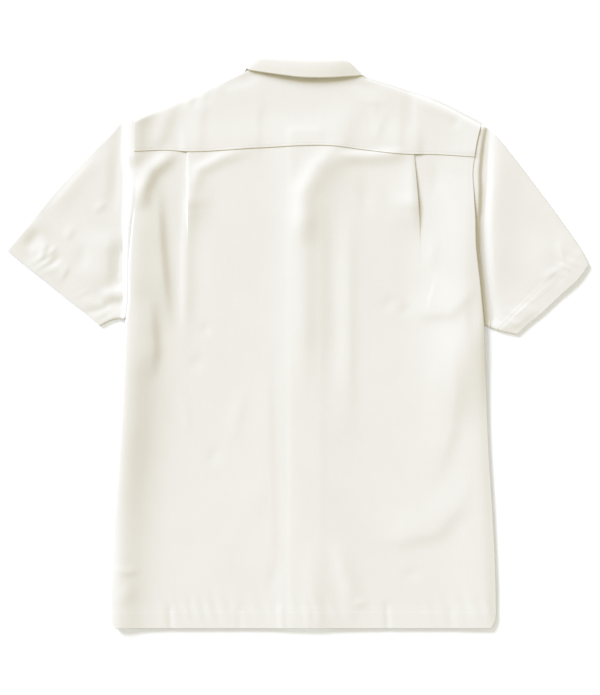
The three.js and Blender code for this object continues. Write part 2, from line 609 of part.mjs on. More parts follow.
// A four-holed shirt button, its rim proud of its well
function makeButton(number) {
  const radius = BUTTON_DIAMETER / 2;
  const profile = [
    [0, 0], [radius - 0.5, 0], [radius, 0.6], [radius, BUTTON_THICKNESS - 0.5],
    [radius - 0.5, BUTTON_THICKNESS], [0, BUTTON_THICKNESS],
  ].map(([r, z]) => new THREE.Vector2(r, z));
  const geometry = new THREE.LatheGeometry(profile, 12).rotateX(Math.PI / 2);
  const button = named(`button_${number}`, geometry, BUTTON_WHITE, 0.35);
  button.position.set(CENTRE_X, TOP_BUTTON_Y - (number - 1) * BUTTON_PITCH, 0);
  return button;
}

const shirt = new THREE.Group();
shirt.add(
  makeBack(),
  makeYoke(),
  makeFront('left_front', -1),
  makeFront('right_front', 1),
  makeSleeve('left_sleeve', -1, LEFT_SLEEVE, LEFT_SLEEVE_FOLDS),
  makeSleeve('right_sleeve', 1, RIGHT_SLEEVE, RIGHT_SLEEVE_FOLDS),
  makeCollar(),
);
for (let number = 1; number <= BUTTON_COUNT; number += 1) {
  shirt.add(makeButton(number));
}

// The origin lies under the middle of the whole shirt
const bounds = new THREE.Box3().setFromObject(shirt);
const middle = bounds.getCenter(new THREE.Vector3());
shirt.position.set(-middle.x, -middle.y, 0);

export default shirt;
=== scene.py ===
"""Dresses a camp shirt that lies flat on its front: its cloth, seams, stitches, studio and camera."""

import logging
import math
from collections.abc import Callable
from dataclasses import dataclass, field, replace
from enum import Enum

import bmesh
import bpy
import numpy as np
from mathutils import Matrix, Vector
from mathutils.bvhtree import BVHTree


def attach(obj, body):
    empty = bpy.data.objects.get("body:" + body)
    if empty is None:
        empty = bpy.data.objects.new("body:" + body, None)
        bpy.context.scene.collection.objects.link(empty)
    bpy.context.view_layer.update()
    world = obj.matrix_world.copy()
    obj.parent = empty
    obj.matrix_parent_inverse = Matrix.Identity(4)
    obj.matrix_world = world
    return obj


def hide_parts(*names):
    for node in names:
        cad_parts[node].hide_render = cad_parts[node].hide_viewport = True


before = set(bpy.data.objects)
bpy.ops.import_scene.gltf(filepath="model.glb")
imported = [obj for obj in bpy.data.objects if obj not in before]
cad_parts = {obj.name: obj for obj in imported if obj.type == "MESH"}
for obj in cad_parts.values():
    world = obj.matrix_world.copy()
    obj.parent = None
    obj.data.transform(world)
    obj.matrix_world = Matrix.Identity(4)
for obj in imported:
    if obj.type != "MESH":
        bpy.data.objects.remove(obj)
LOG = logging.getLogger("camp_shirt")

# Sizes are in millimetres until a mesh is written, in the shirt's own plan, as its cutting lines are
MM = 0.001
CLOTH = 1.2
COLLAR_CLOTH = 1.5
SHELL = 0.5
SEAM_GAP = 0.3
LAYER = CLOTH + SEAM_GAP
COLLAR_SHELL = COLLAR_CLOTH - 0.3
LOWEST_TOP = 2 * CLOTH + SEAM_GAP - CLOTH / 2
LAP = 3.0
CENTRE_X = 10.0
HEM_Y = -382.0
HEM_DEPTH = 27.0
BACK_LEVEL = 4.4
SLEEVE_LEVEL = 3.8
EDGE_ROLL = 9.0
BUTTON_THICKNESS = 2.2
OVERLAP_HALF = 17.0
LAPEL_BREAK_Y = 262.0
NECK_LEFT_X = -67.0
NECK_RIGHT_X = 88.0
YOKE_LEFT_Y = 256.0
YOKE_RIGHT_Y = 249.0
PLEAT_RADIUS = 0.5
PLEAT_SEAM_RADIUS = 0.3
SHORTEST_BEND = 0.94
PLEAT_LEFT_X = -147.0
PLEAT_RIGHT_X = 157.0
YOKE_LIFT = SHELL + 0.06
# How far above the shirt a ray starts that looks for the cloth under a stitch
PROBE_HEIGHT = 60.0
# How far a pixel of the picture reaches, and where the plan's origin lies in it
PIXEL = 1.34
PICTURE_X = 297.0
PICTURE_Y = 343.0
# The whole shirt is centred over its origin, as its frame is
FRAME_SHIFT = Vector((-1.05, -0.85, 0)) * MM

Array = np.ndarray
Colour = tuple[float, float, float]


class Side(Enum):
    """The two sides of the shirt as it lies, with the direction that each points in."""

    LEFT = -1
    RIGHT = 1


def soft_max(first: Array, second: Array, softness: float) -> Array:
    """The larger of two heights, rounded where they meet."""
    return (first + second + np.hypot(first - second, softness)) / 2


def smoothstep(at: Array | float, low: float, high: float) -> Array:
    """Eases from 0 at low to 1 at high.

    Args:
        at: Where to read the step.
        low: Where it starts.
        high: Where it ends.

    Returns:
        The eased share, shaped as at is.
    """
    t = np.clip((np.asarray(at, float) - low) / (high - low), 0, 1)
    return t * t * (3 - 2 * t)


def blend(start: Array | float, end: Array | float, share: Array | float) -> Array:
    """Goes from start to end by a share."""
    return start + (end - start) * share


def edge_roll(distance: Array | float, width: float = EDGE_ROLL) -> Array:
    """Rises from 0 at a rounded edge to 1 at the roll's width."""
    t = 1 - np.clip(np.asarray(distance, float) / width, 0, 1)
    return np.sqrt(1 - t * t)


def even_steps(start: float, end: float, count: int) -> list[float]:
    """Places that part a stretch evenly, without its two ends."""
    return [start + (end - start) * (i + 1) / (count + 1) for i in range(count)]


@dataclass(frozen=True)
class Line:
    """A smooth line through a short table of rows, each a place and the value there."""

    rows: tuple[tuple[float, float], ...]

    def __call__(self, at: Array | float) -> Array:
        """Reads the line at one place or many.

        Args:
            at: The places, held at the ends of the table.

        Returns:
            The values there.
        """
        place, value = (np.array(column, float) for column in zip(*self.rows))
        at = np.clip(np.asarray(at, float), place[0], place[-1])
        span, rise = np.diff(place), np.diff(value)
        slope = rise / span
        tangent = np.concatenate([slope[:1], (slope[:-1] + slope[1:]) / 2, slope[-1:]])
        i = np.clip(np.searchsorted(place, at, side="right") - 1, 0, len(span) - 1)
        t = (at - place[i]) / span[i]
        bend = t * (1 - t) * span[i] * ((1 - t) * tangent[i] - t * tangent[i + 1])
        return value[i] + rise[i] * t * t * (3 - 2 * t) + bend


def smooth_through(points: Array, at: Array) -> Array:
    """The points of a smooth line through a row of points, read by their numbers in the row."""
    places = range(len(points))
    return np.stack([Line(tuple(zip(places, column)))(at) for column in points.T], axis=1)


def by_height(*points: tuple[float, float]) -> Line:
    """A line that gives x at a height y, from its points read upwards."""
    return Line(tuple(sorted((y, x) for x, y in points)))


def by_width(*points: tuple[float, float]) -> Line:
    """A line that gives y at a width x, from its points read to the right."""
    return Line(tuple(sorted(points)))


class Path2:
    """A smooth line in plan through a few points, read from 0 at its start to 1 at its end."""

    def __init__(self, *points: tuple[float, float]) -> None:
        """Parts the line by the lengths between its points.

        Args:
            points: The points that the line passes through.
        """
        steps = [math.dist(a, b) for a, b in zip(points, points[1:])]
        places = np.concatenate([[0], np.cumsum(steps)]) / sum(steps)
        self.length = sum(steps)
        self.x = Line(tuple((p, point[0]) for p, point in zip(places, points)))
        self.y = Line(tuple((p, point[1]) for p, point in zip(places, points)))

    def __call__(self, at: Array | float) -> Array:
        """The points at shares of the line's length, as x and y in the last axis."""
        return np.stack([self.x(at), self.y(at)], axis=-1)


@dataclass(frozen=True)
class Fold:
    """One soft ridge or trough: its crest line, how far it rises, and its reach to either side.

    The crest is read upwards or to the right. Each end fades over a share of its length, and a higher
    flatness makes a flatter top with steeper flanks.
    """

    crest: tuple[tuple[float, float], ...]
    rise: float
    left: float
    right: float
    ends: float = 0.3
    flatness: float = 2.0

    def height(self, x: Array, y: Array) -> Array:
        """How far the fold lifts the cloth at each place.

        Args:
            x: The places' widths.
            y: The places' heights in plan.

        Returns:
            The lift at each place.
        """
        best = np.full(np.shape(x), np.inf)
        reach = np.full(np.shape(x), self.left)
        along = np.zeros(np.shape(x))
        steps = [math.dist(a, b) for a, b in zip(self.crest, self.crest[1:])]
        done = 0.0
        for (ax, ay), (bx, by), step in zip(self.crest, self.crest[1:], steps):
            dx, dy = bx - ax, by - ay
            t = np.clip(((x - ax) * dx + (y - ay) * dy) / (step * step), 0, 1)
            away = np.hypot(x - ax - t * dx, y - ay - t * dy)
            nearer = away < best
            best = np.where(nearer, away, best)
            on_left = dx * (y - ay) - dy * (x - ax) > 0
            reach = np.where(nearer, np.where(on_left, self.left, self.right), reach)
            along = np.where(nearer, done + t * step, along)
            done += step
        lift = self.rise * np.exp(-((best / reach) ** self.flatness))
        if not self.ends:
            return lift
        share = along / done
        return lift * smoothstep(np.minimum(share, 1 - share), 0, self.ends)


def seen(*places: tuple[float, float]) -> tuple[tuple[float, float], ...]:
    """Turns places in the picture, in its pixels, into the shirt's plan."""
    return tuple(((x - PICTURE_X) * PIXEL, (PICTURE_Y - y) * PIXEL) for x, y in places)


def relief(folds: dict[str, Fold], x: Array, y: Array) -> Array:
    """The lift of a set of folds together."""
    return sum((fold.height(x, y) for fold in folds.values()), np.zeros(np.shape(x)))


# The shirt's outline and seams in plan, as it lies
SIDE_LEFT = by_height(
    (-244, -382), (-250, -372), (-251, -350), (-249, -291), (-243, -184), (-236, -76), (-230, 28)
)
SIDE_RIGHT = by_height(
    (261, -382), (266, -372), (267, -350), (263, -237), (257, -140), (254, -60), (251, 23)
)
ARMHOLE_LEFT = by_height(
    (-230, 28), (-226, 58), (-226, 98), (-222, 150), (-217, 190), (-216, 222), (-218, 252), (-218, 303)
)
ARMHOLE_RIGHT = by_height(
    (251, 23), (245, 84), (240, 130), (239, 168), (237, 200),
    (235.5, 228), (238, 249), (242, 272), (247, 292),
)
SHOULDER_LEFT = by_width((-218, 303), (-174, 320), (-130, 336), (-98, 350.5), (-67, 366.5))
SHOULDER_RIGHT = by_width((88, 356), (138, 340), (180, 326), (209, 312), (247, 292))
YOKE_SEAM = by_width(
    (-218, 256), (-177, 258), (-143, 256), (-50, 261), (40, 264),
    (91, 258), (138, 253), (190, 252), (238, 249),
)
BACK_NECK = by_width((-67, 366.5), (-56, 367), (-28, 365), (10, 362.5), (46, 362), (74, 361), (88, 356))
UNDERARM = {Side.LEFT: 28.0, Side.RIGHT: 23.0}

# The knife pleats by their distance below the yoke seam: how many degrees their cloth turns back,
# and how deep it is tucked in
PLEAT_TURN = Line(
    (
        (0, 180), (40, 180), (58, 168), (74, 122), (88, 66), (100, 30), (114, 11),
        (130, 4), (150, 1.4), (175, 0.3), (210, 0.06), (240, 0.05), (660, 0.05),
    )
)
PLEAT_TUCK = Line(((0, 14), (40, 9), (58, 4), (74, 1.3), (90, 0.6), (105, 0.5), (660, 0.5)))

BODY_FOLDS = {
    "left edge roll": Fold(
        seen((118, 660), (121, 560), (123, 500), (127, 430), (130, 370), (133, 300), (135, 200), (134, 110)),
        4.2, 18, 25, 0.0,
    ),
    "left edge slack": Fold(seen((120, 660), (130, 370), (134, 120)), 1.2, 18, 66, 0.2),
    "left side fall": Fold(
        seen((117, 540), (124, 420), (129, 300), (131, 220), (132, 120)), 3.6, 10, 40, 0.28
    ),
    "left hollow": Fold(seen((166, 640), (168, 480), (176, 330)), -1.1, 30, 60, 0.4),
    "left long crease": Fold(
        seen((170, 336), (165, 300), (161, 260), (158, 220), (156, 176)), 3.3, 24, 8, 0.4
    ),
    "left lower crease": Fold(seen((150, 384), (153, 350), (152, 330), (148, 292)), 2.6, 20, 8.5, 0.4),
    "left branch": Fold(seen((142, 214), (143, 190), (152, 171), (180, 148)), 2.9, 11, 10, 0.28),
    "left bow": Fold(seen((192, 200), (199, 170), (222, 158), (256, 148)), 1.5, 7, 9, 0.4),
    "left pleat crest": Fold(seen((185, 350), (186, 250), (189, 200), (190, 150)), 1.2, 6, 11, 0.3),
    "right edge roll": Fold(((246, -110), (244, 130), (238, 230), (242, 300)), 3.4, 44, 12, 0.3),
    "right lower roll": Fold(((256, -440), (244, -130), (238, 90)), 1.8, 34, 18, 0.2),
    "right edge fall": Fold(((270, -420), (257, -140), (252, 60)), -0.5, 9, 12, 0.12),
    "placket": Fold(((9, -440), (9, 330)), 1.85, 35, 62, 0.1, 2.6),
    "centre ridge": Fold(
        seen((303, 420), (304, 300), (303, 240), (304, 190), (318, 165), (346, 142)), 1.8, 18, 15, 0.35
    ),
    "centre top ridge": Fold(seen((303, 250), (304, 195), (318, 168), (352, 138)), 2.2, 14, 21, 0.25),
    "centre valley": Fold(
        seen((336, 420), (335, 300), (334, 240), (336, 200), (348, 172)), -1.2, 15, 17, 0.4
    ),
    "right of centre": Fold(seen((348, 460), (348, 330), (348, 250), (352, 190)), 0.9, 16, 9, 0.4),
    "right bow": Fold(seen((330, 158), (345, 156), (370, 156), (412, 153)), 1.9, 6, 10, 0.3),
    "right small trough": Fold(seen((366, 224), (364, 168)), -0.6, 9, 10, 0.5),
    "right pleat crest": Fold(seen((419, 240), (416, 200), (413, 150)), 0.9, 12, 4, 0.35),
    "beside right pleat": Fold(seen((437, 204), (434, 150)), -0.6, 9, 12, 0.5),
    "right blob": Fold(seen((430, 276), (434, 234)), 0.5, 10, 7, 0.5),
    "right shelf": Fold(seen((404, 298), (425, 313), (450, 311), (476, 282)), 1.3, 36, 10, 0.4),
    "right slant ridge": Fold(
        seen((424, 498), (437, 464), (449, 430), (453, 390), (450, 316)), 1.5, 34, 13, 0.4
    ),
    "right swell": Fold(seen((458, 440), (462, 320), (462, 170)), 3.4, 48, 26, 0.35),
    "right side crease": Fold(seen((475, 345), (469, 288)), -0.7, 8, 8, 0.5),
    "right arc": Fold(seen((366, 530), (400, 537), (434, 530), (454, 508), (472, 466)), 1.4, 30, 14, 0.4),
    "right low spot": Fold(seen((398, 578), (424, 570)), -0.4, 7, 9, 0.5),
    "mid left ridge": Fold(seen((271, 620), (271, 520), (268, 430), (264, 320)), 0.7, 22, 8, 0.35),
    "mid left swell": Fold(seen((254, 530), (256, 466)), 0.5, 24, 14, 0.5),
    "mid left spot": Fold(seen((209, 472), (219, 440)), -0.5, 9, 8, 0.5),
    "hem fold one": Fold(seen((314, 680), (313, 590), (309, 530)), 0.9, 13, 14, 0.35),
    "hem fold two": Fold(seen((358, 624), (347, 580), (334, 536)), 1.2, 10, 13, 0.4),
    "hem fold three": Fold(seen((350, 604), (370, 602)), 0.5, 5, 5, 0.5),
    "hem left trough": Fold(seen((271, 600), (275, 556)), -0.5, 8, 8, 0.5),
    "small dent one": Fold(seen((199, 338), (212, 321)), -0.45, 8, 8, 0.5),
    "small dent two": Fold(seen((188, 371), (206, 354)), -0.4, 8, 8, 0.5),
    "small dent three": Fold(seen((380, 314), (396, 293)), -0.45, 8, 8, 0.5),
    "small dent four": Fold(seen((400, 320), (411, 300)), -0.4, 7, 7, 0.5),
    "small streak one": Fold(seen((192, 440), (180, 386)), 0.4, 9, 6, 0.5),
    "small streak two": Fold(seen((230, 450), (246, 382)), 0.4, 10, 7, 0.5),
    "left low wrinkle": Fold(seen((112, 568), (126, 572), (142, 570)), 0.6, 6, 4, 0.4),
    "left low slope": Fold(seen((120, 606), (134, 578)), 0.6, 8, 12, 0.5),
    "hem pinch one": Fold(seen((171, 640), (169, 600)), -0.7, 2.6, 4, 0.3),
    "hem pinch two": Fold(seen((241, 640), (239, 600)), -0.45, 5, 5, 0.3),
    "hem pinch three": Fold(seen((284, 640), (279, 600)), 0.55, 4, 4, 0.3),
    "hem pinch four": Fold(seen((389, 640), (386, 598)), -0.7, 4, 3, 0.3),
    "hem pinch five": Fold(seen((312, 640), (313, 606)), -0.3, 4, 4, 0.3),
    "hem pinch six": Fold(seen((452, 640), (450, 604)), -0.3, 5, 4, 0.3),
    "yoke left slope": Fold(seen((132, 170), (134, 125), (144, 98)), 2.2, 5, 14, 0.2),
    "yoke left ridge": Fold(seen((152, 160), (162, 132), (174, 96)), 1.2, 12, 10, 0.35),
    "yoke second ridge": Fold(seen((200, 164), (199, 125), (206, 90)), 0.7, 14, 7, 0.4),
    "yoke neck step": Fold(seen((257, 166), (257, 120), (262, 92)), 0.6, 36, 5, 0.4),
    "yoke right ridge": Fold(seen((338, 160), (344, 128), (360, 96)), 1.0, 26, 16, 0.4),
    "yoke right crease": Fold(seen((350, 100), (370, 102), (392, 105)), 0.4, 6, 4, 0.45),
    "yoke thin crease": Fold(seen((377, 132), (373, 96)), 0.35, 7, 3, 0.45),
    "yoke slant crease": Fold(seen((373, 146), (386, 108)), 0.5, 8, 5, 0.45),
    "yoke upright crease": Fold(seen((398, 160), (400, 108)), 0.5, 11, 5, 0.4),
    "yoke right step": Fold(seen((411, 142), (411, 84)), -0.65, 17, 5, 0.45),
    "yoke far slope": Fold(seen((408, 100), (434, 108), (460, 120)), 0.5, 5, 9, 0.45),
    "yoke far spot": Fold(seen((452, 131), (459, 114)), -0.4, 6, 6, 0.5),
    "yoke far ridge": Fold(seen((478, 160), (480, 110)), 1.0, 24, 5, 0.2),
    "shoulder dent one": Fold(seen((192, 112), (202, 80)), -0.8, 6, 8, 0.35),
    "shoulder dent two": Fold(seen((206, 108), (214, 78)), -0.5, 5, 6, 0.35),
    "shoulder dent three": Fold(seen((181, 112), (187, 84)), -0.6, 5, 6, 0.35),
    "neck dent": Fold(seen((216, 87), (238, 81), (262, 76)), -1.5, 6, 8, 0.35),
    "right neck slope": Fold(seen((338, 81), (384, 90)), -0.9, 5, 8, 0.4),
}


def edge_line(side: Side, y: Array | float) -> Array:
    """The body's outer edge at a height: the side seam below the underarm and the armhole above it."""
    below, above = (SIDE_LEFT, ARMHOLE_LEFT) if side is Side.LEFT else (SIDE_RIGHT, ARMHOLE_RIGHT)
    return np.where(np.asarray(y) < UNDERARM[side], below(y), above(y))


def top_edge(x: Array | float) -> Array:
    """The back's top edge at a width: two shoulder folds with the back neck between them.

    Args:
        x: The widths.

    Returns:
        The edge's heights in plan.
    """
    x = np.asarray(x, float)
    neck = np.where(x > NECK_RIGHT_X, SHOULDER_RIGHT(x), BACK_NECK(x))
    return np.where(x < NECK_LEFT_X, SHOULDER_LEFT(x), neck)


def front_lift(side: Side, x: Array, y: Array) -> Array:
    """How far a front is lifted by the buttons, lapels and collar ends under it.

    Args:
        side: Which front.
        x: The places' widths.
        y: The places' heights in plan.

    Returns:
        The lift at each place.
    """
    across = side.value * (x - CENTRE_X)
    buttons = BUTTON_THICKNESS + SEAM_GAP
    overlap = buttons + (LAYER if side is Side.RIGHT else 0)
    ramp = OVERLAP_HALF + (3 if side is Side.RIGHT else 1)
    placket = overlap * (1 - smoothstep(across, ramp, ramp + 22))
    faded = placket * (1 - smoothstep(y, LAPEL_BREAK_Y + 20, LAPEL_BREAK_Y + 44))
    neck = smoothstep(y, LAPEL_BREAK_Y - 12, LAPEL_BREAK_Y + 12) * (1 - smoothstep(across, 125, 150))
    return np.maximum(faded, (COLLAR_CLOTH + SEAM_GAP) * neck)


def front_top(x: Array, y: Array) -> Array:
    """The top of the fronts under the back.

    Args:
        x: The places' widths.
        y: The places' heights in plan.

    Returns:
        The top's heights over the floor.
    """
    left = front_lift(Side.LEFT, x, y) * (1 - smoothstep(x, CENTRE_X + 18, CENTRE_X + 30))
    right = front_lift(Side.RIGHT, x, y) * smoothstep(x, CENTRE_X - 30, CENTRE_X - 18)
    return CLOTH + np.maximum(left, right)


def pleat_section(below: float, arc_points: int) -> Array:
    """One knife pleat from the side panel up to the centre panel.

    Args:
        below: The distance below the yoke seam.
        arc_points: How many points each of its two bends has.

    Returns:
        Rows of across and up, measured from the pleat's fold edge.
    """
    turn, tuck = math.radians(float(PLEAT_TURN(below))), float(PLEAT_TUCK(below))
    rounding = blend(PLEAT_SEAM_RADIUS, PLEAT_RADIUS, float(smoothstep(below, 4, 34)))
    radius = max(rounding, SHORTEST_BEND / turn)
    t = np.linspace(0, 1, arc_points)
    lower_across = radius * (np.sin(turn * t) - math.sin(turn)) - tuck * math.cos(turn)
    lower_up = radius * (1 - np.cos(turn * t))
    upper_across = radius * (math.sin(turn) - np.sin(turn * (1 - t)))
    start = radius * (1 - math.cos(turn)) + tuck * math.sin(turn)
    upper_up = start + radius * (np.cos(turn * (1 - t)) - math.cos(turn))
    tucked = np.linspace(0, 1, 6)[1:-1]
    straight_across = blend(lower_across[-1], upper_across[0], tucked)
    straight_up = blend(lower_up[-1], upper_up[0], tucked)
    across = np.concatenate([lower_across, straight_across, upper_across]) + PLEAT_RADIUS
    return np.stack([across, np.concatenate([lower_up, straight_up, upper_up])], axis=1)


def pleat_rise(below: float) -> float:
    """How high the centre panel lies over the side panels."""
    return float(pleat_section(below, 2)[-1, 1])


class Grid:
    """A sheet of cloth as rows of points on its middle, in millimetres."""

    def __init__(self, points: Array, tube: bool = False) -> None:
        """Keeps the sheet's points.

        Args:
            points: The points, by row, column and axis.
            tube: Whether the columns close on themselves.
        """
        self.points = np.concatenate([points, points[:, :1]], axis=1) if tube else points
        self.tube = tube

    def mesh(self, name: str) -> bpy.types.Object:
        """Lays a bmesh grid through the points, as an open sheet.

        Args:
            name: The piece's name.

        Returns:
            The finished sheet.
        """
        rows, columns, _ = self.points.shape
        bm = bmesh.new()
        bmesh.ops.create_grid(bm, x_segments=columns - 1, y_segments=rows - 1, size=0.5)
        for vert in bm.verts:
            i = round((vert.co.y + 0.5) * (rows - 1))
            j = round((vert.co.x + 0.5) * (columns - 1))
            vert.co = Vector(self.points[i, j]) * MM + FRAME_SHIFT
        if self.tube:
            bmesh.ops.remove_doubles(bm, verts=bm.verts, dist=1e-6)
        return finish_mesh(bm, name)


def finish_mesh(bm: bmesh.types.BMesh, name: str) -> bpy.types.Object:
    """Turns a bmesh into a smooth-shaded object and frees it.

    Args:
        bm: The finished bmesh, in metres.
        name: The piece's name.

    Returns:
        The new object, in the scene.
    """
    mesh = bpy.data.meshes.new(name)
    for face in bm.faces:
        face.smooth = True
    bm.to_mesh(mesh)
    bm.free()
    piece = bpy.data.objects.new(name, mesh)
    bpy.context.scene.collection.objects.link(piece)
    return piece


def thicken(piece: bpy.types.Object, thickness: float) -> None:
    """Gives an open sheet its cloth's thickness, half to each side.

    Args:
        piece: The sheet.
        thickness: The thickness in millimetres.
    """
    solid = piece.modifiers.new("cloth thickness", "SOLIDIFY")
    solid.thickness = thickness * MM
    solid.offset = 0


@dataclass
class Body:
    """The back panel and the yoke over it, which share one relief."""

    folds: dict[str, Fold] = field(default_factory=lambda: BODY_FOLDS)
    edge_insets: tuple[float, ...] = (0, 0.2, 0.6, 1.2, 2.0, 3.0, 4.2, 5.6, 7.2, EDGE_ROLL)
    pleat_arc_points: int = 6
    row_count: int = 196
    left_roll: float = 2.4
    right_roll: float = 0.8
    left_roll_ends: tuple[float, float] = (110, 190)
    right_roll_ends: tuple[float, float] = (150, 215)
    seat_ease: float = 0.4
    side_steps: int = 28
    centre_steps: int = 112
    pleat_drift: float = 0.085
    drift_ends: float = 95.0
    pleat_slope: tuple[float, float] = (3, 40)
    centre_fall: tuple[float, float] = (10, 330)
    meeting: float = 1.0
    hem_turn: float = 0.25
    hem_draw: float = -0.2
    hem_pucker: float = 0.28

    def height(self, x: Array, y: Array) -> Array:
        """The middle of the back's cloth before its edges turn down.

        Args:
            x: The places' widths.
            y: The places' heights in plan.

        Returns:
            The middle's heights over the floor.
        """
        raised = BACK_LEVEL + relief(self.folds, x, y)
        beneath = front_top(x, y) + SEAM_GAP + SHELL / 2
        return soft_max(raised, beneath, self.meeting) + self.hem_relief(x, y)

    def hem_relief(self, x: Array, y: Array) -> Array:
        """The step of the turned-up hem and the puckers that its stitching draws up.

        Args:
            x: The places' widths.
            y: The places' heights in plan.

        Returns:
            The lift at each place.
        """
        up = y - HEM_Y
        turned = self.hem_turn * (1 - smoothstep(up, HEM_DEPTH - 2, HEM_DEPTH + 3))
        drawn = self.hem_draw * np.exp(-(((up - HEM_DEPTH + 2) / 1.8) ** 2))
        pull = 0.5 + 0.5 * np.sin(x / 37 + 1.3) * np.sin(x / 101)
        fade = np.exp(-(((up - HEM_DEPTH) / 16) ** 2))
        wave = np.sin(x / 2.9 + up / 9 + 1.6 * np.sin(x / 23))
        return turned + drawn + self.hem_pucker * wave * pull * fade

    def turned_down(self, x: Array, y: Array, height: Array) -> Array:
        """The back's height where its side edges turn down onto the front or the sleeve.

        Args:
            x: The places' widths.
            y: The places' heights in plan.
            height: The cloth's heights before it turns down.

        Returns:
            The heights with the edges turned down.
        """
        low = front_top(x, y) + SEAM_GAP
        seat = low + (LAYER + self.seat_ease) * smoothstep(y, 0, 22)
        half = SHELL / 2
        from_left = x - edge_line(Side.LEFT, y) - half
        from_right = edge_line(Side.RIGHT, y) - half - x
        left = blend(1, edge_roll(from_left, self.left_roll), 1 - smoothstep(y, *self.left_roll_ends))
        right = blend(1, edge_roll(from_right, self.right_roll), 1 - smoothstep(y, *self.right_roll_ends))
        return blend(np.minimum(seat, height), height, left * right)

    def centre_lift(self, x: Array, below: float) -> Array:
        """How high the cloth between the pleats lies over the side panels.

        Args:
            x: The places' widths.
            below: The distance below the yoke seam.

        Returns:
            The lift: the pleats' own beside them, and a longer slope between them.
        """
        between = pleat_rise(0) * (1 - float(smoothstep(below, *self.centre_fall)))
        from_pleat = np.minimum(x - PLEAT_LEFT_X, PLEAT_RIGHT_X - x)
        return blend(pleat_rise(below), between, smoothstep(from_pleat, *self.pleat_slope))

    def back_row(self, v: float) -> Array:
        """One row of the back panel, from its left edge over both pleats to its right edge.

        Args:
            v: The share of the way from the hem to the yoke seam.

        Returns:
            The row's points.
        """

        def row_y(x: Array | float) -> Array:
            """The row's height in plan at a width."""
            return blend(HEM_Y, YOKE_SEAM(x) + 2 * LAP, v)

        def placed(x: Array, y: Array, lift: Array | float) -> Array:
            """Points on the back's cloth, lifted."""
            z = self.turned_down(x, y, self.height(x, y)) + lift
            return np.stack([x, y, z], axis=1)

        def side_panel(side: Side, pleat_x: float) -> Array:
            """The row's part beside the pleats, from the edge inwards.

            Args:
                side: Which side.
                pleat_x: Where the pleat's fold edge lies.

            Returns:
                The part's points.
            """
            y = float(row_y(edge_line(side, blend(HEM_Y, 255, v))))
            edge = float(edge_line(side, y)) - side.value * CLOTH / 2
            stop = pleat_x + side.value * 2
            width = abs(stop - edge)
            insets = [*self.edge_insets, *even_steps(EDGE_ROLL, width, self.side_steps)]
            x = edge - side.value * np.array(insets)
            return placed(x, np.full(len(x), y), 0)

        def pleat(fold_x: float, direction: int) -> Array:
            """The row's part through one pleat.

            Args:
                fold_x: Where the fold edge lies.
                direction: 1 where the pleat faces right, and -1 where left.

            Returns:
                The part's points, from left to right.
            """
            y = float(row_y(fold_x))
            below = max(float(YOKE_SEAM(fold_x)) - y, 0)
            section = pleat_section(below, self.pleat_arc_points)
            x, y = fold_x + direction * section[:, 0], np.full(len(section), y)
            points = np.stack([x, y, self.height(x, y) + section[:, 1]], axis=1)
            return points if direction > 0 else points[::-1]

        below = max(float(YOKE_SEAM(0) - row_y(0)), 0)
        right_fold_x = PLEAT_RIGHT_X + self.pleat_drift * min(below, self.drift_ends)
        x = np.array(even_steps(PLEAT_LEFT_X + 2, PLEAT_RIGHT_X - 2, self.centre_steps))
        return np.concatenate(
            [
                side_panel(Side.LEFT, PLEAT_LEFT_X),
                pleat(PLEAT_LEFT_X, 1),
                placed(x, row_y(x), self.centre_lift(x, below)),
                pleat(right_fold_x, -1),
                side_panel(Side.RIGHT, right_fold_x)[::-1],
            ]
        )

    def make_back(self) -> bpy.types.Object:
        """The back panel with its two knife pleats.

        Returns:
            The piece.
        """
        hem_rows = even_steps(0.003, 0.055, 15)
        places = [0, 0.001, 0.003, *hem_rows, *even_steps(0.052, 1, self.row_count), 1]
        return Grid(np.stack([self.back_row(v) for v in places])).mesh("back_panel_cloth")

    def yoke_height(self, x: Array, y: Array) -> Array:
        """The middle of the yoke's cloth before its shoulder edges turn down.

        Args:
            x: The places' widths.
            y: The places' heights in plan.

        Returns:
            The middle's heights over the floor.
        """
        inside = smoothstep(x, PLEAT_LEFT_X - 15, PLEAT_LEFT_X - 1)
        inside = inside * (1 - smoothstep(x, PLEAT_RIGHT_X + 1, PLEAT_RIGHT_X + 15))
        near_seam = 1 - smoothstep(y - YOKE_SEAM(x), 4, 50)
        return self.height(x, y) + inside * near_seam * pleat_rise(0) + YOKE_LIFT

    def make_yoke(self) -> bpy.types.Object:
        """The yoke, lapped over the back panel and turned down at the shoulders.

        Returns:
            The piece.
        """
        u = np.array([0, 0.001, 0.003, 0.006, *even_steps(0.006, 0.994, 150), 0.994, 0.997, 0.999, 1])

        def row(row_of: Callable[[Array], Array]) -> Array:
            """One row of the yoke.

            Args:
                row_of: Gives the row's height in plan at a width.

            Returns:
                The row's points.
            """
            x = blend(edge_line(Side.LEFT, YOKE_LEFT_Y), edge_line(Side.RIGHT, YOKE_RIGHT_Y), u)
            y = row_of(x)
            half = CLOTH / 2
            x = blend(edge_line(Side.LEFT, y) + half, edge_line(Side.RIGHT, y) - half, u)
            neck = smoothstep(x, NECK_LEFT_X - 5, NECK_LEFT_X + 3)
            neck = neck * (1 - smoothstep(x, NECK_RIGHT_X - 4, NECK_RIGHT_X + 4))
            shoulder = blend(top_edge(x) - half - y, EDGE_ROLL, neck)
            height = self.yoke_height(x, y)
            low = front_top(x, y) + SEAM_GAP + half
            z = blend(np.minimum(low, height), height, edge_roll(shoulder))
            return np.stack([x, y, z], axis=1)

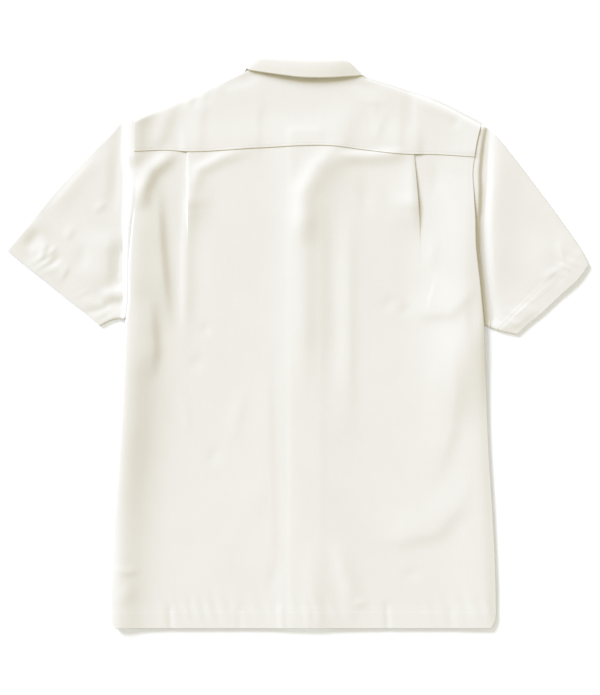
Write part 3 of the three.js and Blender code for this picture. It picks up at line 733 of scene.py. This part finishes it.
        rows = [
            row(lambda x, v=v: blend(YOKE_SEAM(x), top_edge(x) - EDGE_ROLL, v))
            for v in [0, 0.01, 0.03, *even_steps(0.03, 0.97, 26)]
        ]
        rows += [
            row(lambda x, inset=inset: top_edge(x) - CLOTH / 2 - inset) for inset in self.edge_insets[::-1]
        ]
        return Grid(np.stack(rows)).mesh("back_yoke_cloth")


@dataclass
class Sleeve:
    """A flattened sleeve, in rings from the armhole to the hem."""

    side: Side
    upper: Path2
    under: Path2
    hem: Path2
    folds: dict[str, Fold]
    body: Body
    seam_drop: Line
    hold: Line
    settle: Line
    rings: int = 74
    over_points: int = 96
    layer_shares: tuple[float, float] = (0.015, 0.985)
    bend_degrees: tuple[float, ...] = (60, 30, 0, -30, -60)
    hem_turn: float = 0.4
    hem_draw: float = -0.3
    hem_pucker: float = 0.2

    def armhole(self, t: Array) -> Array:
        """The armhole line from the underarm up to the shoulder.

        Args:
            t: The shares of the way up.

        Returns:
            The points' x and y.
        """
        bottom, top = self.under(0)[1], self.upper(0)[1]
        y = blend(bottom, top, t)
        return np.stack([edge_line(self.side, y), y], axis=-1)

    def plan(self, s: float, t: Array) -> Array:
        """The sleeve's plan between its four edges.

        Args:
            s: The share of the way from the armhole to the hem.
            t: The shares of the way from the underarm to the shoulder fold.

        Returns:
            The points' x and y.
        """
        t = np.asarray(t, float)[..., None]
        flat = t[..., 0]
        ruled = self.armhole(flat) * (1 - s) + self.hem(flat) * s
        edges = self.under(s) * (1 - t) + self.upper(s) * t
        near = self.armhole(np.array(0.0)) * (1 - t) + self.armhole(np.array(1.0)) * t
        far = self.hem(0) * (1 - t) + self.hem(1) * t
        return ruled + edges - near * (1 - s) - far * s

    def seam_height(self, y: Array) -> Array:
        """The middle of the cloth where it passes under the body's armhole edge.

        Args:
            y: The places' heights in plan.

        Returns:
            The middle's heights over the floor.
        """
        x = edge_line(self.side, y) - self.side.value * CLOTH / 2
        height = self.body.turned_down(x, y, self.body.height(x, y))
        return np.maximum(height - self.seam_drop(y), LOWEST_TOP)

    def hem_relief(self, x: Array, y: Array) -> Array:
        """The turned hem's step and its puckers.

        Args:
            x: The places' widths.
            y: The places' heights in plan.

        Returns:
            The lift at each place.
        """
        corner, end = self.hem(0), self.hem(1)
        along = (end - corner) / np.linalg.norm(end - corner)
        inward = np.array([-along[1], along[0]]) * -self.side.value
        inward = inward * np.sign(inward @ (self.upper(0) - corner))
        up = (x - corner[0]) * inward[0] + (y - corner[1]) * inward[1]
        run = (x - corner[0]) * along[0] + (y - corner[1]) * along[1]
        turned = self.hem_turn * (1 - smoothstep(up, HEM_DEPTH - 4, HEM_DEPTH - 1))
        drawn = self.hem_draw * np.exp(-(((up - HEM_DEPTH + 5) / 1.8) ** 2))
        fade = np.exp(-(((up - HEM_DEPTH + 8) / 13) ** 2))
        puckers = self.hem_pucker * np.sin(run / 2.6 + up / 5 + 2.4 * np.sin(run / 9)) * fade
        return turned + drawn + puckers * (0.5 + 0.5 * np.sin(run / 14))

    def level(self, x: Array, y: Array) -> Array:
        """The middle of the top layer's cloth.

        Args:
            x: The places' widths.
            y: The places' heights in plan.

        Returns:
            The middle's heights over the floor.
        """
        bottom, top = self.under(0)[1], self.upper(0)[1]
        seam_y = np.clip(y, bottom, top)
        away = np.maximum(np.abs(x - edge_line(self.side, seam_y)) - self.hold(seam_y), 0)
        own = SLEEVE_LEVEL + relief(self.folds, x, y) + self.hem_relief(x, y)
        own = np.maximum(own, LOWEST_TOP)
        return blend(self.seam_height(seam_y), own, smoothstep(away / self.settle(seam_y), 0, 1))

    def ring(self, s: float) -> Array:
        """One ring of the sleeve: over its top layer, round one fold, back beneath, round the other.

        Args:
            s: The share of the way from the armhole to the hem.

        Returns:
            The ring's points.
        """
        tucked = 1 - float(smoothstep(s, 0, 0.03))
        t = np.linspace(*self.layer_shares, self.over_points)

        def layer(t: Array, top: bool) -> Array:
            """One layer of the ring.

            Args:
                t: The shares of the way from the underarm to the shoulder fold.
                top: Whether it lies on top.

            Returns:
                The layer's points.
            """
            flat = self.plan(s, t)
            z = self.level(flat[:, 0], flat[:, 1]) if top else np.full(len(flat), CLOTH / 2)
            shift = -self.side.value * LAP * tucked if top else self.side.value * tucked
            return np.stack([flat[:, 0] + shift, flat[:, 1], z], axis=1)

        def bend(near: float, end: float) -> Array:
            """The ring's way round one fold.

            Args:
                near: The share where both layers stop.
                end: The share where the fold lies.

            Returns:
                The bend's points, from above to below.
            """
            high, low = layer(np.array([near]), True)[0], layer(np.array([near]), False)[0]
            edge = self.plan(s, np.array([end]))[0]
            out = edge - self.plan(s, np.array([near]))[0]
            out = out - out / max(np.linalg.norm(out), 1e-6) * SHELL / 2
            middle, half = (high + low) / 2, (high[2] - low[2]) / 2
            angles = np.radians(self.bend_degrees)
            return np.array([middle + [*(out * math.cos(a)), half * math.sin(a)] for a in angles])

        over = layer(t[::-1], True)
        beneath = layer(t[::3], False)
        return np.concatenate([over, bend(t[0], 0.0), beneath, bend(t[-1], 1.0)[::-1]])

    def make(self) -> bpy.types.Object:
        """The sleeve as one tube of cloth.

        Returns:
            The piece.
        """
        near = [0, 0.004, 0.01, *even_steps(0.01, 0.12, 16)]
        stations = [*near, *even_steps(0.115, 0.995, self.rings), 0.997, 1]
        name = f"{self.side.name.lower()}_sleeve_cloth"
        return Grid(np.stack([self.ring(s) for s in stations]), tube=True).mesh(name)


@dataclass(frozen=True)
class CollarStation:
    """Where the collar is sewn, folds over and ends at one place, and which way its leaf faces."""

    seam: tuple[float, float, float]
    fold: tuple[float, float, float]
    edge: tuple[float, float, float]
    faces: float

    def section(self, loft_at_back: float = 1.6) -> Array:
        """The collar's section: up its stand, over the fold and down its leaf.

        Args:
            loft_at_back: How far the cloth bows out at the back neck.

        Returns:
            The section's points, from the seam.
        """
        seam, fold, edge = (np.array(point) for point in (self.seam, self.fold, self.edge))
        angle = math.radians(self.faces)
        out = np.array([math.cos(angle), 0, math.sin(angle)])
        loft = blend(0.9, loft_at_back, np.clip((fold[2] - 2) / 6, 0, 1))
        crown = (fold - seam) / np.linalg.norm(fold - seam)
        return np.array(
            [
                seam,
                blend(seam, fold, 0.45) - out * loft * 0.7,
                blend(seam, fold, 0.88) - out * loft,
                fold + crown * loft * 0.8,
                blend(fold, edge, 0.12) + out * loft,
                blend(fold, edge, 0.5) + out * loft * 0.8,
                edge,
            ]
        )


@dataclass
class Collar:
    """The camp collar, from its left end under the shirt, round the back neck to its right end."""

    stations: tuple[CollarStation, ...] = (
        CollarStation((-44, 330, 2.6), (-37, 331, 1.7), (-92, 303, 0.85), 270),
        CollarStation((-56, 343, 2.6), (-50, 347, 1.7), (-92, 328, 0.85), 270),
        CollarStation((-63, 358, 2.9), (-57, 366, 2.4), (-79, 349, 1.1), 255),
        CollarStation((-64, 365, 4.8), (-59.5, 378, 5.4), (-67.5, 367, 5.6), 180),
        CollarStation((-56, 367, 5.7), (-49, 382.5, 8.2), (-62, 364.4, 7.2), 105),
        CollarStation((-28, 365, 5.9), (-27, 380.5, 9.6), (-24, 358.4, 9.8), 90),
        CollarStation((10, 362.5, 5.9), (10, 378.5, 10), (8, 354.6, 10.4), 90),
        CollarStation((46, 362, 5.9), (44, 378.5, 9.6), (44, 354.3, 9.7), 90),
        CollarStation((73, 361, 5.7), (63, 378.5, 8.2), (76, 356.4, 7.2), 75),
        CollarStation((84, 356, 4.6), (75, 370, 5.2), (90, 356.5, 4.8), 0),
        CollarStation((83, 349, 2.9), (78, 357, 2.4), (103, 341, 1.1), -75),
        CollarStation((76, 335, 2.6), (70, 339, 1.7), (113, 320, 0.85), -90),
        CollarStation((64, 322, 2.6), (57, 323, 1.7), (112, 295, 0.85), -90),
    )
    rows_between: int = 12
    section_points: int = 43

    def make(self) -> bpy.types.Object:
        """The collar as one folded band of cloth.

        Returns:
            The piece.
        """
        sections = np.array([station.section() for station in self.stations])
        stations, points, _ = sections.shape
        along = np.linspace(0, stations - 1, (stations - 1) * self.rows_between + 1)
        through = np.stack([smooth_through(sections[:, k], along) for k in range(points)], axis=1)
        across = np.linspace(0, points - 1, self.section_points)
        return Grid(np.stack([smooth_through(row, across) for row in through])).mesh("collar_cloth")


@dataclass
class HiddenFront:
    """A front that lies under the back: its solid's form, rounded and smoothed."""

    node: str
    bend_degrees: float = 40.0
    skew_degrees: float = 60.0

    def make(self) -> bpy.types.Object:
        """Copies the solid, merges its loose triangles and rounds its edges.

        Returns:
            The piece.
        """
        bm = bmesh.new()
        bm.from_mesh(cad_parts[self.node].data)
        bmesh.ops.remove_doubles(bm, verts=bm.verts, dist=1e-6)
        bmesh.ops.join_triangles(
            bm,
            faces=bm.faces,
            angle_face_threshold=math.radians(self.bend_degrees),
            angle_shape_threshold=math.radians(self.skew_degrees),
        )
        piece = finish_mesh(bm, f"{self.node}_cloth")
        rounding = piece.modifiers.new("rounded edges", "SUBSURF")
        rounding.levels = rounding.render_levels = 1
        return piece


class Socket:
    """A shader socket that adds Math nodes when Python operators are used on it."""

    def __init__(self, finish: "NodeTree", source: bpy.types.NodeSocket) -> None:
        """Wraps one output socket.

        Args:
            finish: The tree that new nodes go to.
            source: The socket.
        """
        self.finish = finish
        self.source = source

    def _math(self, operation: str, *values: "Socket | float") -> "Socket":
        """Adds one Math node over this socket and others."""
        return self.finish.add("ShaderNodeMath", {"operation": operation}, dict(enumerate(values)))

    def __add__(self, other: "Socket | float") -> "Socket":
        """Adds."""
        return self._math("ADD", self, other)

    def __radd__(self, other: float) -> "Socket":
        """Adds, reflected."""
        return self._math("ADD", other, self)

    def __mul__(self, other: "Socket | float") -> "Socket":
        """Multiplies."""
        return self._math("MULTIPLY", self, other)

    def __rmul__(self, other: float) -> "Socket":
        """Multiplies, reflected."""
        return self._math("MULTIPLY", other, self)

    def wave(self) -> "Socket":
        """The sine."""
        return self._math("SINE", self)


Value = Socket | float | tuple[float, ...]


class NodeTree:
    """A material's node tree, built one node at a time."""

    def __init__(self, name: str) -> None:
        """Starts a material with a Principled shader.

        Args:
            name: The material's name.
        """
        self.material = bpy.data.materials.new(name)
        self.material.use_nodes = True
        self.tree = self.material.node_tree
        self.shader = next(node for node in self.tree.nodes if node.type == "BSDF_PRINCIPLED")

    def add(
        self, kind: str, settings: dict[str, object], values: dict[int | str, Value], output: int | str = 0
    ) -> Socket:
        """Adds one node.

        Args:
            kind: The node's type.
            settings: What is set on the node first: its operation, or a ramp's stops.
            values: Numbers, colours or sockets for its inputs, by name or number.
            output: Which output is given back.

        Returns:
            The node's output.
        """
        node = self.tree.nodes.new(kind)
        for key, value in settings.items():
            if key == "stops":
                for stop, (place, colour) in zip(node.color_ramp.elements, value):
                    stop.position = place
                    stop.color = colour
            else:
                setattr(node, key, value)
        for key, value in values.items():
            self.supply(node, key, value)
        return Socket(self, node.outputs[output])

    def supply(self, node: bpy.types.Node, key: int | str, value: Value) -> None:
        """Sets or links one input of a node.

        Args:
            node: The node.
            key: The input's name or number.
            value: A plain value or a socket.
        """
        if isinstance(value, Socket):
            self.tree.links.new(value.source, node.inputs[key])
        else:
            node.inputs[key].default_value = value

    def feed(self, name: str, value: Value) -> None:
        """Sets or links one input of the shader."""
        self.supply(self.shader, name, value)

    def place(self) -> Socket:
        """Where a point lies on the piece."""
        return self.add("ShaderNodeTexCoord", {}, {}, "Object")

    def noise(self, place: Socket, scale: float, detail: float, **more: float) -> Socket:
        """Adds soft noise.

        Args:
            place: Where it is read.
            scale: How many spots there are in a metre.
            detail: How many finer layers it has.
            **more: Other inputs of the noise.

        Returns:
            The noise, from 0 to 1.
        """
        return self.add("ShaderNodeTexNoise", {}, {"Vector": place, "Scale": scale, "Detail": detail, **more})

    def tone(self, share: Socket, ends: tuple[float, float], colour: Colour, darkest: float) -> Socket:
        """Shades a colour by a share.

        Args:
            share: How light it is at each place.
            ends: The shares where it is darkest and where it is plain.
            colour: The plain colour.
            darkest: How much of the plain colour is left where it is darkest.

        Returns:
            The colour at each place.
        """
        dark = (*(channel * darkest for channel in colour), 1.0)
        stops = tuple(zip(ends, (dark, (*colour, 1.0))))
        return self.add("ShaderNodeValToRGB", {"stops": stops}, {"Fac": share}, "Color")

    def bump(self, height: Socket, strength: float, distance: float) -> None:
        """Roughens the surface by a height."""
        values = {"Strength": strength, "Distance": distance, "Height": height}
        self.feed("Normal", self.add("ShaderNodeBump", {}, values, "Normal"))


@dataclass(frozen=True)
class Shirting:
    """A smooth matt shirting: its colour, its grain's angle in plan and how its threads show."""

    name: str
    colour: Colour
    grain_degrees: float = 0.0
    thread_pitch: float = 0.55
    weave_depth: float = 0.35
    roughness: float = 0.82
    sheen: float = 0.12

    def material(self) -> bpy.types.Material:
        """Builds the cloth's nodes: two crossing threads, slubs, faint mottling and a soft sheen.

        Returns:
            The material.
        """
        tree = NodeTree(self.name)
        place = tree.place()
        rotation = (0, 0, math.radians(self.grain_degrees))
        turned = tree.add("ShaderNodeMapping", {}, {"Vector": place, "Rotation": rotation})
        x = tree.add("ShaderNodeSeparateXYZ", {}, {"Vector": turned}, "X")
        y = tree.add("ShaderNodeSeparateXYZ", {}, {"Vector": turned}, "Y")
        turns = 2 * math.pi / (self.thread_pitch * MM)
        warp = (x * turns).wave()
        weft = (y * turns).wave()
        weave = (warp * weft) * 0.5 + 0.5
        stretched = tree.add("ShaderNodeMapping", {}, {"Vector": turned, "Scale": (900, 26, 400)})
        slub = tree.noise(stretched, 1.0, 2.0)
        mottle = tree.noise(place, 14.0, 3.0, Roughness=0.6)
        nap = tree.noise(place, 1400.0, 2.0)
        threads = weave * 0.25 + slub * 0.35 + mottle * 0.55
        tree.feed("Base Color", tree.tone(threads, (0.3, 0.75), self.colour, 0.955))
        tree.feed("Roughness", mottle * 0.12 + (self.roughness - 0.06))
        tree.feed("Sheen Weight", self.sheen)
        tree.feed("Sheen Roughness", 0.45)
        tree.feed("Specular IOR Level", 0.25)
        tree.bump(weave * 0.6 + slub * 0.5 + nap * 0.35, self.weave_depth, 0.12 * MM)
        return tree.material


@dataclass(frozen=True)
class Thread:
    """Sewing thread: a fine twisted strand with a little more gloss than the cloth."""

    name: str
    colour: Colour

    def material(self) -> bpy.types.Material:
        """Builds the thread's nodes.

        Returns:
            The material.
        """
        tree = NodeTree(self.name)
        twist = tree.noise(tree.place(), 2600.0, 1.0)
        tree.feed("Base Color", tree.tone(twist, (0.3, 0.7), self.colour, 0.9))
        tree.feed("Roughness", 0.6)
        tree.feed("Sheen Weight", 0.1)
        tree.bump(twist, 0.4, 0.05 * MM)
        return tree.material


@dataclass(frozen=True)
class ButtonResin:
    """Off-white cast resin with faint clouding, as on plain shirt buttons."""

    name: str
    colour: Colour

    def material(self) -> bpy.types.Material:
        """Builds the resin's nodes.

        Returns:
            The material.
        """
        tree = NodeTree(self.name)
        cloud = tree.noise(tree.place(), 240.0, 3.0, Distortion=1.5)
        tree.feed("Base Color", tree.tone(cloud, (0.35, 0.65), self.colour, 0.86))
        tree.feed("Roughness", cloud * 0.12 + 0.22)
        tree.feed("Coat Weight", 0.3)
        tree.feed("Coat Roughness", 0.15)
        return tree.material


@dataclass(frozen=True)
class PaleFloor:
    """The plain white floor that the shirt lies on, a little lit from within as a light table is."""

    name: str
    colour: Colour
    glow: Colour = (0.66, 0.77, 1.0)
    glow_strength: float = 0.3

    def material(self) -> bpy.types.Material:
        """Builds the floor's nodes.

        Returns:
            The material.
        """
        tree = NodeTree(self.name)
        tree.feed("Base Color", (*self.colour, 1.0))
        tree.feed("Emission Color", (*self.glow, 1.0))
        tree.feed("Emission Strength", self.glow_strength)
        tree.feed("Roughness", 0.95)
        tree.feed("Specular IOR Level", 0.1)
        return tree.material


def dress(piece: bpy.types.Object, material: bpy.types.Material) -> None:
    """Gives a piece its one material."""
    piece.data.materials.clear()
    piece.data.materials.append(material)


@dataclass(frozen=True)
class StitchRow:
    """A row of lockstitches along a line on a panel."""

    name: str
    line: tuple[tuple[float, float], ...]
    on: str
    pitch: float = 3.0
    length: float = 2.3
    width: float = 0.45
    proud: float = 0.05
    sides: int = 5

    def sew(self, surfaces: dict[str, BVHTree]) -> bpy.types.Object:
        """Lays one stitch after another on the panel's surface.

        Args:
            surfaces: The panels' surfaces by name, to find the cloth under each stitch.

        Returns:
            The whole row as one piece.
        """
        path = Path2(*self.line)
        radius = self.width / 2 * MM
        down = Vector((0, 0, -1))
        bm = bmesh.new()
        for k in range(int(path.length / self.pitch)):
            ends = [path((k + share) * self.pitch / path.length) for share in (0, self.length / self.pitch)]
            above = [Vector((*end, PROBE_HEIGHT)) * MM + FRAME_SHIFT for end in ends]
            found = [surfaces[self.on].ray_cast(place, down) for place in above]
            if any(hit[0] is None for hit in found):
                continue
            start, end = (hit[0] for hit in found)
            along = (end - start).normalized()
            up = found[0][1]
            across = along.cross(up).normalized()
            strand = bmesh.ops.create_cone(
                bm, cap_ends=True, segments=self.sides, radius1=radius, radius2=radius, depth=1.0
            )["verts"]
            middle = (start + end) / 2 + up * self.proud * MM
            for vert in strand:
                local = vert.co.copy()
                taper = 0.55 if abs(local.z) > 0.45 else 1.0
                point = middle + along * local.z * (end - start).length
                vert.co = point + (across * local.x + up * local.y * 0.7) * taper
        return finish_mesh(bm, self.name)


@dataclass
class Studio:
    """A white floor, soft light from the upper left and a camera straight above the shirt."""

    key_from: tuple[float, float, float] = (-1.3, 1.5, 1.0)
    key_energy: float = 4.54
    key_softness: float = 32.0
    key_colour: Colour = (0.718, 0.795, 1.0)
    surround_colour: Colour = (1.0, 0.90, 0.60)
    surround_strength: float = 0.57
    frame_width: int = 600
    frame_height: int = 695
    middle: tuple[float, float] = (4.0, -6.0)
    distance: float = 3200.0
    sensor_width: float = 36.0
    floor_size: float = 6.0

    def floor(self) -> None:
        """Lays the floor just under the shirt."""
        bm = bmesh.new()
        bmesh.ops.create_grid(bm, x_segments=1, y_segments=1, size=self.floor_size / 2)
        floor = finish_mesh(bm, "floor")
        dress(floor, PaleFloor("white floor", (0.97, 0.97, 0.97)).material())

    def light(self) -> None:
        """Hangs one soft key light over a bright even surround."""
        key = bpy.data.lights.new("key light", "SUN")
        key.energy = self.key_energy
        key.angle = math.radians(self.key_softness)
        key.color = self.key_colour
        lamp = bpy.data.objects.new("key light", key)
        lamp.rotation_euler = Vector(self.key_from).to_track_quat("Z", "Y").to_euler()
        bpy.context.scene.collection.objects.link(lamp)
        world = bpy.data.worlds.new("even surround")
        world.use_nodes = True
        surround = world.node_tree.nodes["Background"]
        surround.inputs["Color"].default_value = (*self.surround_colour, 1.0)
        surround.inputs["Strength"].default_value = self.surround_strength
        bpy.context.scene.world = world
        bpy.context.scene.view_settings.view_transform = "Standard"

    def camera(self) -> None:
        """Sets the camera at the photograph's angle, straight above."""
        lens = bpy.data.cameras.new("camera")
        lens.sensor_fit = "HORIZONTAL"
        lens.sensor_width = self.sensor_width
        lens.lens = lens.sensor_width * self.distance / (PIXEL * self.frame_width)
        lens.clip_end = 20
        camera = bpy.data.objects.new("camera", lens)
        camera.location = Vector((*self.middle, self.distance)) * MM + FRAME_SHIFT
        bpy.context.scene.collection.objects.link(camera)
        bpy.context.scene.camera = camera


def surface_of(piece: bpy.types.Object) -> BVHTree:
    """The outer surface of a finished piece, for finding places on it."""
    return BVHTree.FromObject(piece, bpy.context.evaluated_depsgraph_get())


@dataclass
class CampShirt:
    """The whole shirt: its cloth pieces, its stitches and its buttons."""

    cream: Colour = (0.855, 0.842, 0.814)
    collar_cream: Colour = (0.90, 0.89, 0.865)
    sleeve_grain: float = 38.0
    topstitch_above: float = 4.0
    armhole_stitch_inside: float = 6.0

    def sleeves(self, body: Body) -> list[Sleeve]:
        """The two sleeves with their own folds.

        Args:
            body: The back and the yoke that they are sewn to.

        Returns:
            The left sleeve and the right one.
        """
        left = Sleeve(
            Side.LEFT,
            upper=Path2(
                (-218, 303), (-236, 297), (-246, 285), (-272, 259), (-323, 205), (-367, 151), (-389, 125)
            ),
            under=Path2((-230, 31.5), (-243, 31), (-253, 27.5), (-263, 22)),
            hem=Path2((-263, 22), (-285, 42), (-311, 62), (-338, 84), (-371, 110), (-389, 125)),
            folds={
                "cap groove": Fold(seen((114, 220), (117, 165), (121, 112)), -0.8, 9, 7, 0.35),
                "cap puff": Fold(((-262, 170), (-256, 280)), 0.9, 26, 14, 0.4),
                "underarm hollow": Fold(seen((123, 298), (125, 264), (127, 236)), -2.4, 17, 5, 0.35),
                "underarm swell": Fold(seen((104, 296), (106, 262), (108, 226)), 1.7, 30, 12, 0.35),
                "underarm ridge": Fold(seen((98, 296), (116, 293), (134, 289)), 1.4, 7, 13, 0.35),
                "fold edge slope": Fold(seen((44, 218), (75, 182), (104, 150)), 0.9, 6, 14, 0.35),
                "tip hollow": Fold(seen((24, 252), (32, 242), (42, 228)), -1.3, 9, 9, 0.4),
                "hem crumple one": Fold(seen((38, 262), (44, 252), (46, 240)), 0.7, 5, 4, 0.4),
                "hem crumple two": Fold(seen((50, 270), (54, 262), (64, 254)), -0.7, 5, 5, 0.45),
                "hem crumple three": Fold(seen((60, 284), (66, 270), (70, 262)), 0.6, 6, 4, 0.45),
                "hem crumple four": Fold(seen((48, 258), (58, 244)), 0.5, 4, 4, 0.45),
                "tip slope": Fold(seen((6, 254), (24, 234), (48, 214)), 0.9, 8, 18, 0.3),
                "hem crease": Fold(seen((78, 315), (108, 308)), -0.5, 5, 5, 0.45),
                "hem corner": Fold(seen((100, 306), (114, 303), (128, 304)), -1.2, 7, 9, 0.3),
                "hem puff": Fold(((-362, 118), (-308, 84)), 0.8, 18, 18, 0.4),
                "cap crease": Fold(seen((93, 214), (108, 200)), 0.6, 7, 5, 0.45),
                "middle crease": Fold(seen((64, 243), (76, 224)), 0.5, 7, 5, 0.45),
                "middle dimple": Fold(seen((78, 276), (87, 240)), -0.6, 9, 9, 0.5),
            },
            body=body,
            seam_drop=Line(((20, 1.7), (100, 1.7), (180, 2.2), (250, 1.6), (303, 1.4))),
            hold=Line(((20, 1), (150, 2), (303, 2))),
            settle=Line(((20, 6), (120, 7), (180, 15), (303, 16))),
        )
        right = Sleeve(
            Side.RIGHT,
            upper=Path2(
                (247, 292), (257, 287), (267, 278), (285, 256),
                (312, 221), (358, 159), (383, 122), (391, 106),
            ),
            under=Path2((251, 23), (261, 19), (273, 15), (293, 11)),
            hem=Path2((293, 11), (312, 28), (326, 39), (352, 63), (379, 88), (391, 106)),
            folds={
                "gap beside the body": Fold(
                    seen(
                        (489, 318), (485, 296), (482, 272), (480, 250),
                        (479, 225), (481, 205), (484, 180), (485, 120),
                    ),
                    -2.4, 6.5, 11, 0.0,
                ),
                "cap ridge": Fold(seen((497, 300), (493, 231), (494, 180), (495, 122)), 1.5, 8, 26, 0.3),
                "middle ridge": Fold(seen((548, 306), (544, 220)), 0.9, 22, 18, 0.45),
                "lower ridge": Fold(seen((486, 326), (514, 324), (542, 304)), 0.9, 18, 7, 0.4),
                "forked crease": Fold(seen((538, 283), (555, 271), (570, 263)), 0.6, 6, 4, 0.4),
                "fork": Fold(seen((566, 270), (557, 238)), 0.5, 6, 4, 0.45),
                "corner slope": Fold(seen((564, 306), (569, 262), (560, 224)), 0.8, 12, 26, 0.35),
            },
            body=body,
            seam_drop=Line(((20, 2.6), (90, 4.0), (150, 4.0), (180, 2.0), (215, 0.85), (292, 0.8))),
            hold=Line(((20, 1), (150, 1), (185, 4), (215, 6), (292, 4))),
            settle=Line(((20, 4), (150, 4), (215, 6), (292, 5))),
        )
        return [left, right]

    def stitch_rows(self) -> list[StitchRow]:
        """Every visible row of stitches.

        Returns:
            The rows.
        """
        yoke = tuple((x, float(YOKE_SEAM(x)) + self.topstitch_above) for x in range(-214, 240, 26))
        hem = tuple((x, HEM_Y + HEM_DEPTH - 2) for x in (-245, 0, 262))
        inside = self.armhole_stitch_inside
        left_arm = tuple((float(ARMHOLE_LEFT(y)) - inside, y) for y in range(150, 296, 16))
        right_arm = tuple((float(ARMHOLE_RIGHT(y)) - inside, y) for y in range(150, 284, 16))
        return [
            StitchRow("yoke_topstitch", yoke, "back_yoke_cloth"),
            StitchRow("hem_stitch", hem, "back_panel_cloth"),
            StitchRow("left_sleeve_hem_stitch", ((-276, 44), (-325, 84), (-374, 122)), "left_sleeve_cloth"),
            StitchRow("right_sleeve_hem_stitch", ((290, 34), (330, 66), (374, 106)), "right_sleeve_cloth"),
            StitchRow("left_armhole_stitch", left_arm, "left_sleeve_cloth"),
            StitchRow("right_armhole_stitch", right_arm, "back_panel_cloth"),
        ]

    def build(self) -> None:
        """Makes, dresses and attaches every piece, sews the stitches and finishes the buttons."""
        body = Body()
        cloth = Shirting("cream shirting", self.cream)
        pieces: dict[str, tuple[bpy.types.Object, Shirting, tuple[float, float], float]] = {
            "back_panel": (body.make_back(), cloth, (0.56, 0.65), 0.34),
            "back_yoke": (body.make_yoke(), cloth, (0.47, 0.12), 0.043),
        }
        for sleeve in self.sleeves(body):
            side = sleeve.side.name.lower()
            grain = self.sleeve_grain * sleeve.side.value
            turned = replace(cloth, name=f"cream shirting, {side} sleeve", grain_degrees=grain)
            pieces[f"{side}_sleeve"] = (sleeve.make(), turned, (0.55, 0.25), 0.054)
        collar_cloth = Shirting("cream collar cloth", self.collar_cream)
        pieces["collar"] = (Collar().make(), collar_cloth, (0.27, 0.095), 0.0135)
        for node, share in (("left_front", 0.19), ("right_front", 0.185)):
            pieces[node] = (HiddenFront(node).make(), cloth, (0.30, 0.74), share)
        for node, (piece, finish, flat, area) in pieces.items():
            if node not in ("left_front", "right_front"):
                thicken(piece, COLLAR_SHELL if node == "collar" else SHELL)
            dress(piece, finish.material())
            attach(piece, "root")
            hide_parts(node)
            LOG.info("%s: %d faces", piece.name, len(piece.data.polygons))
        self.sew({piece.name: surface_of(piece) for piece, *_ in pieces.values()})
        self.finish_buttons()

    def sew(self, surfaces: dict[str, BVHTree]) -> None:
        """Sews every row of stitches onto its panel.

        Args:
            surfaces: The panels' surfaces by name.
        """
        thread = Thread("cream thread", (0.88, 0.87, 0.84)).material()
        for row in self.stitch_rows():
            piece = row.sew(surfaces)
            dress(piece, thread)
            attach(piece, "root")
            LOG.info("%s: %d faces", piece.name, len(piece.data.polygons))

    def finish_buttons(self) -> None:
        """Gives the buttons under the left front their resin."""
        resin = ButtonResin("off-white resin", (0.82, 0.8, 0.74)).material()
        for name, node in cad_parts.items():
            if name.startswith("button_"):
                dress(node, resin)
                LOG.info("%s dressed", name)


def main() -> None:
    """Builds the shirt and its studio."""
    logging.basicConfig(level=logging.INFO, format="%(message)s")
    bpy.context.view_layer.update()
    studio = Studio()
    studio.camera()
    studio.light()
    studio.floor()
    CampShirt().build()


if __name__ == "__main__":
    main()
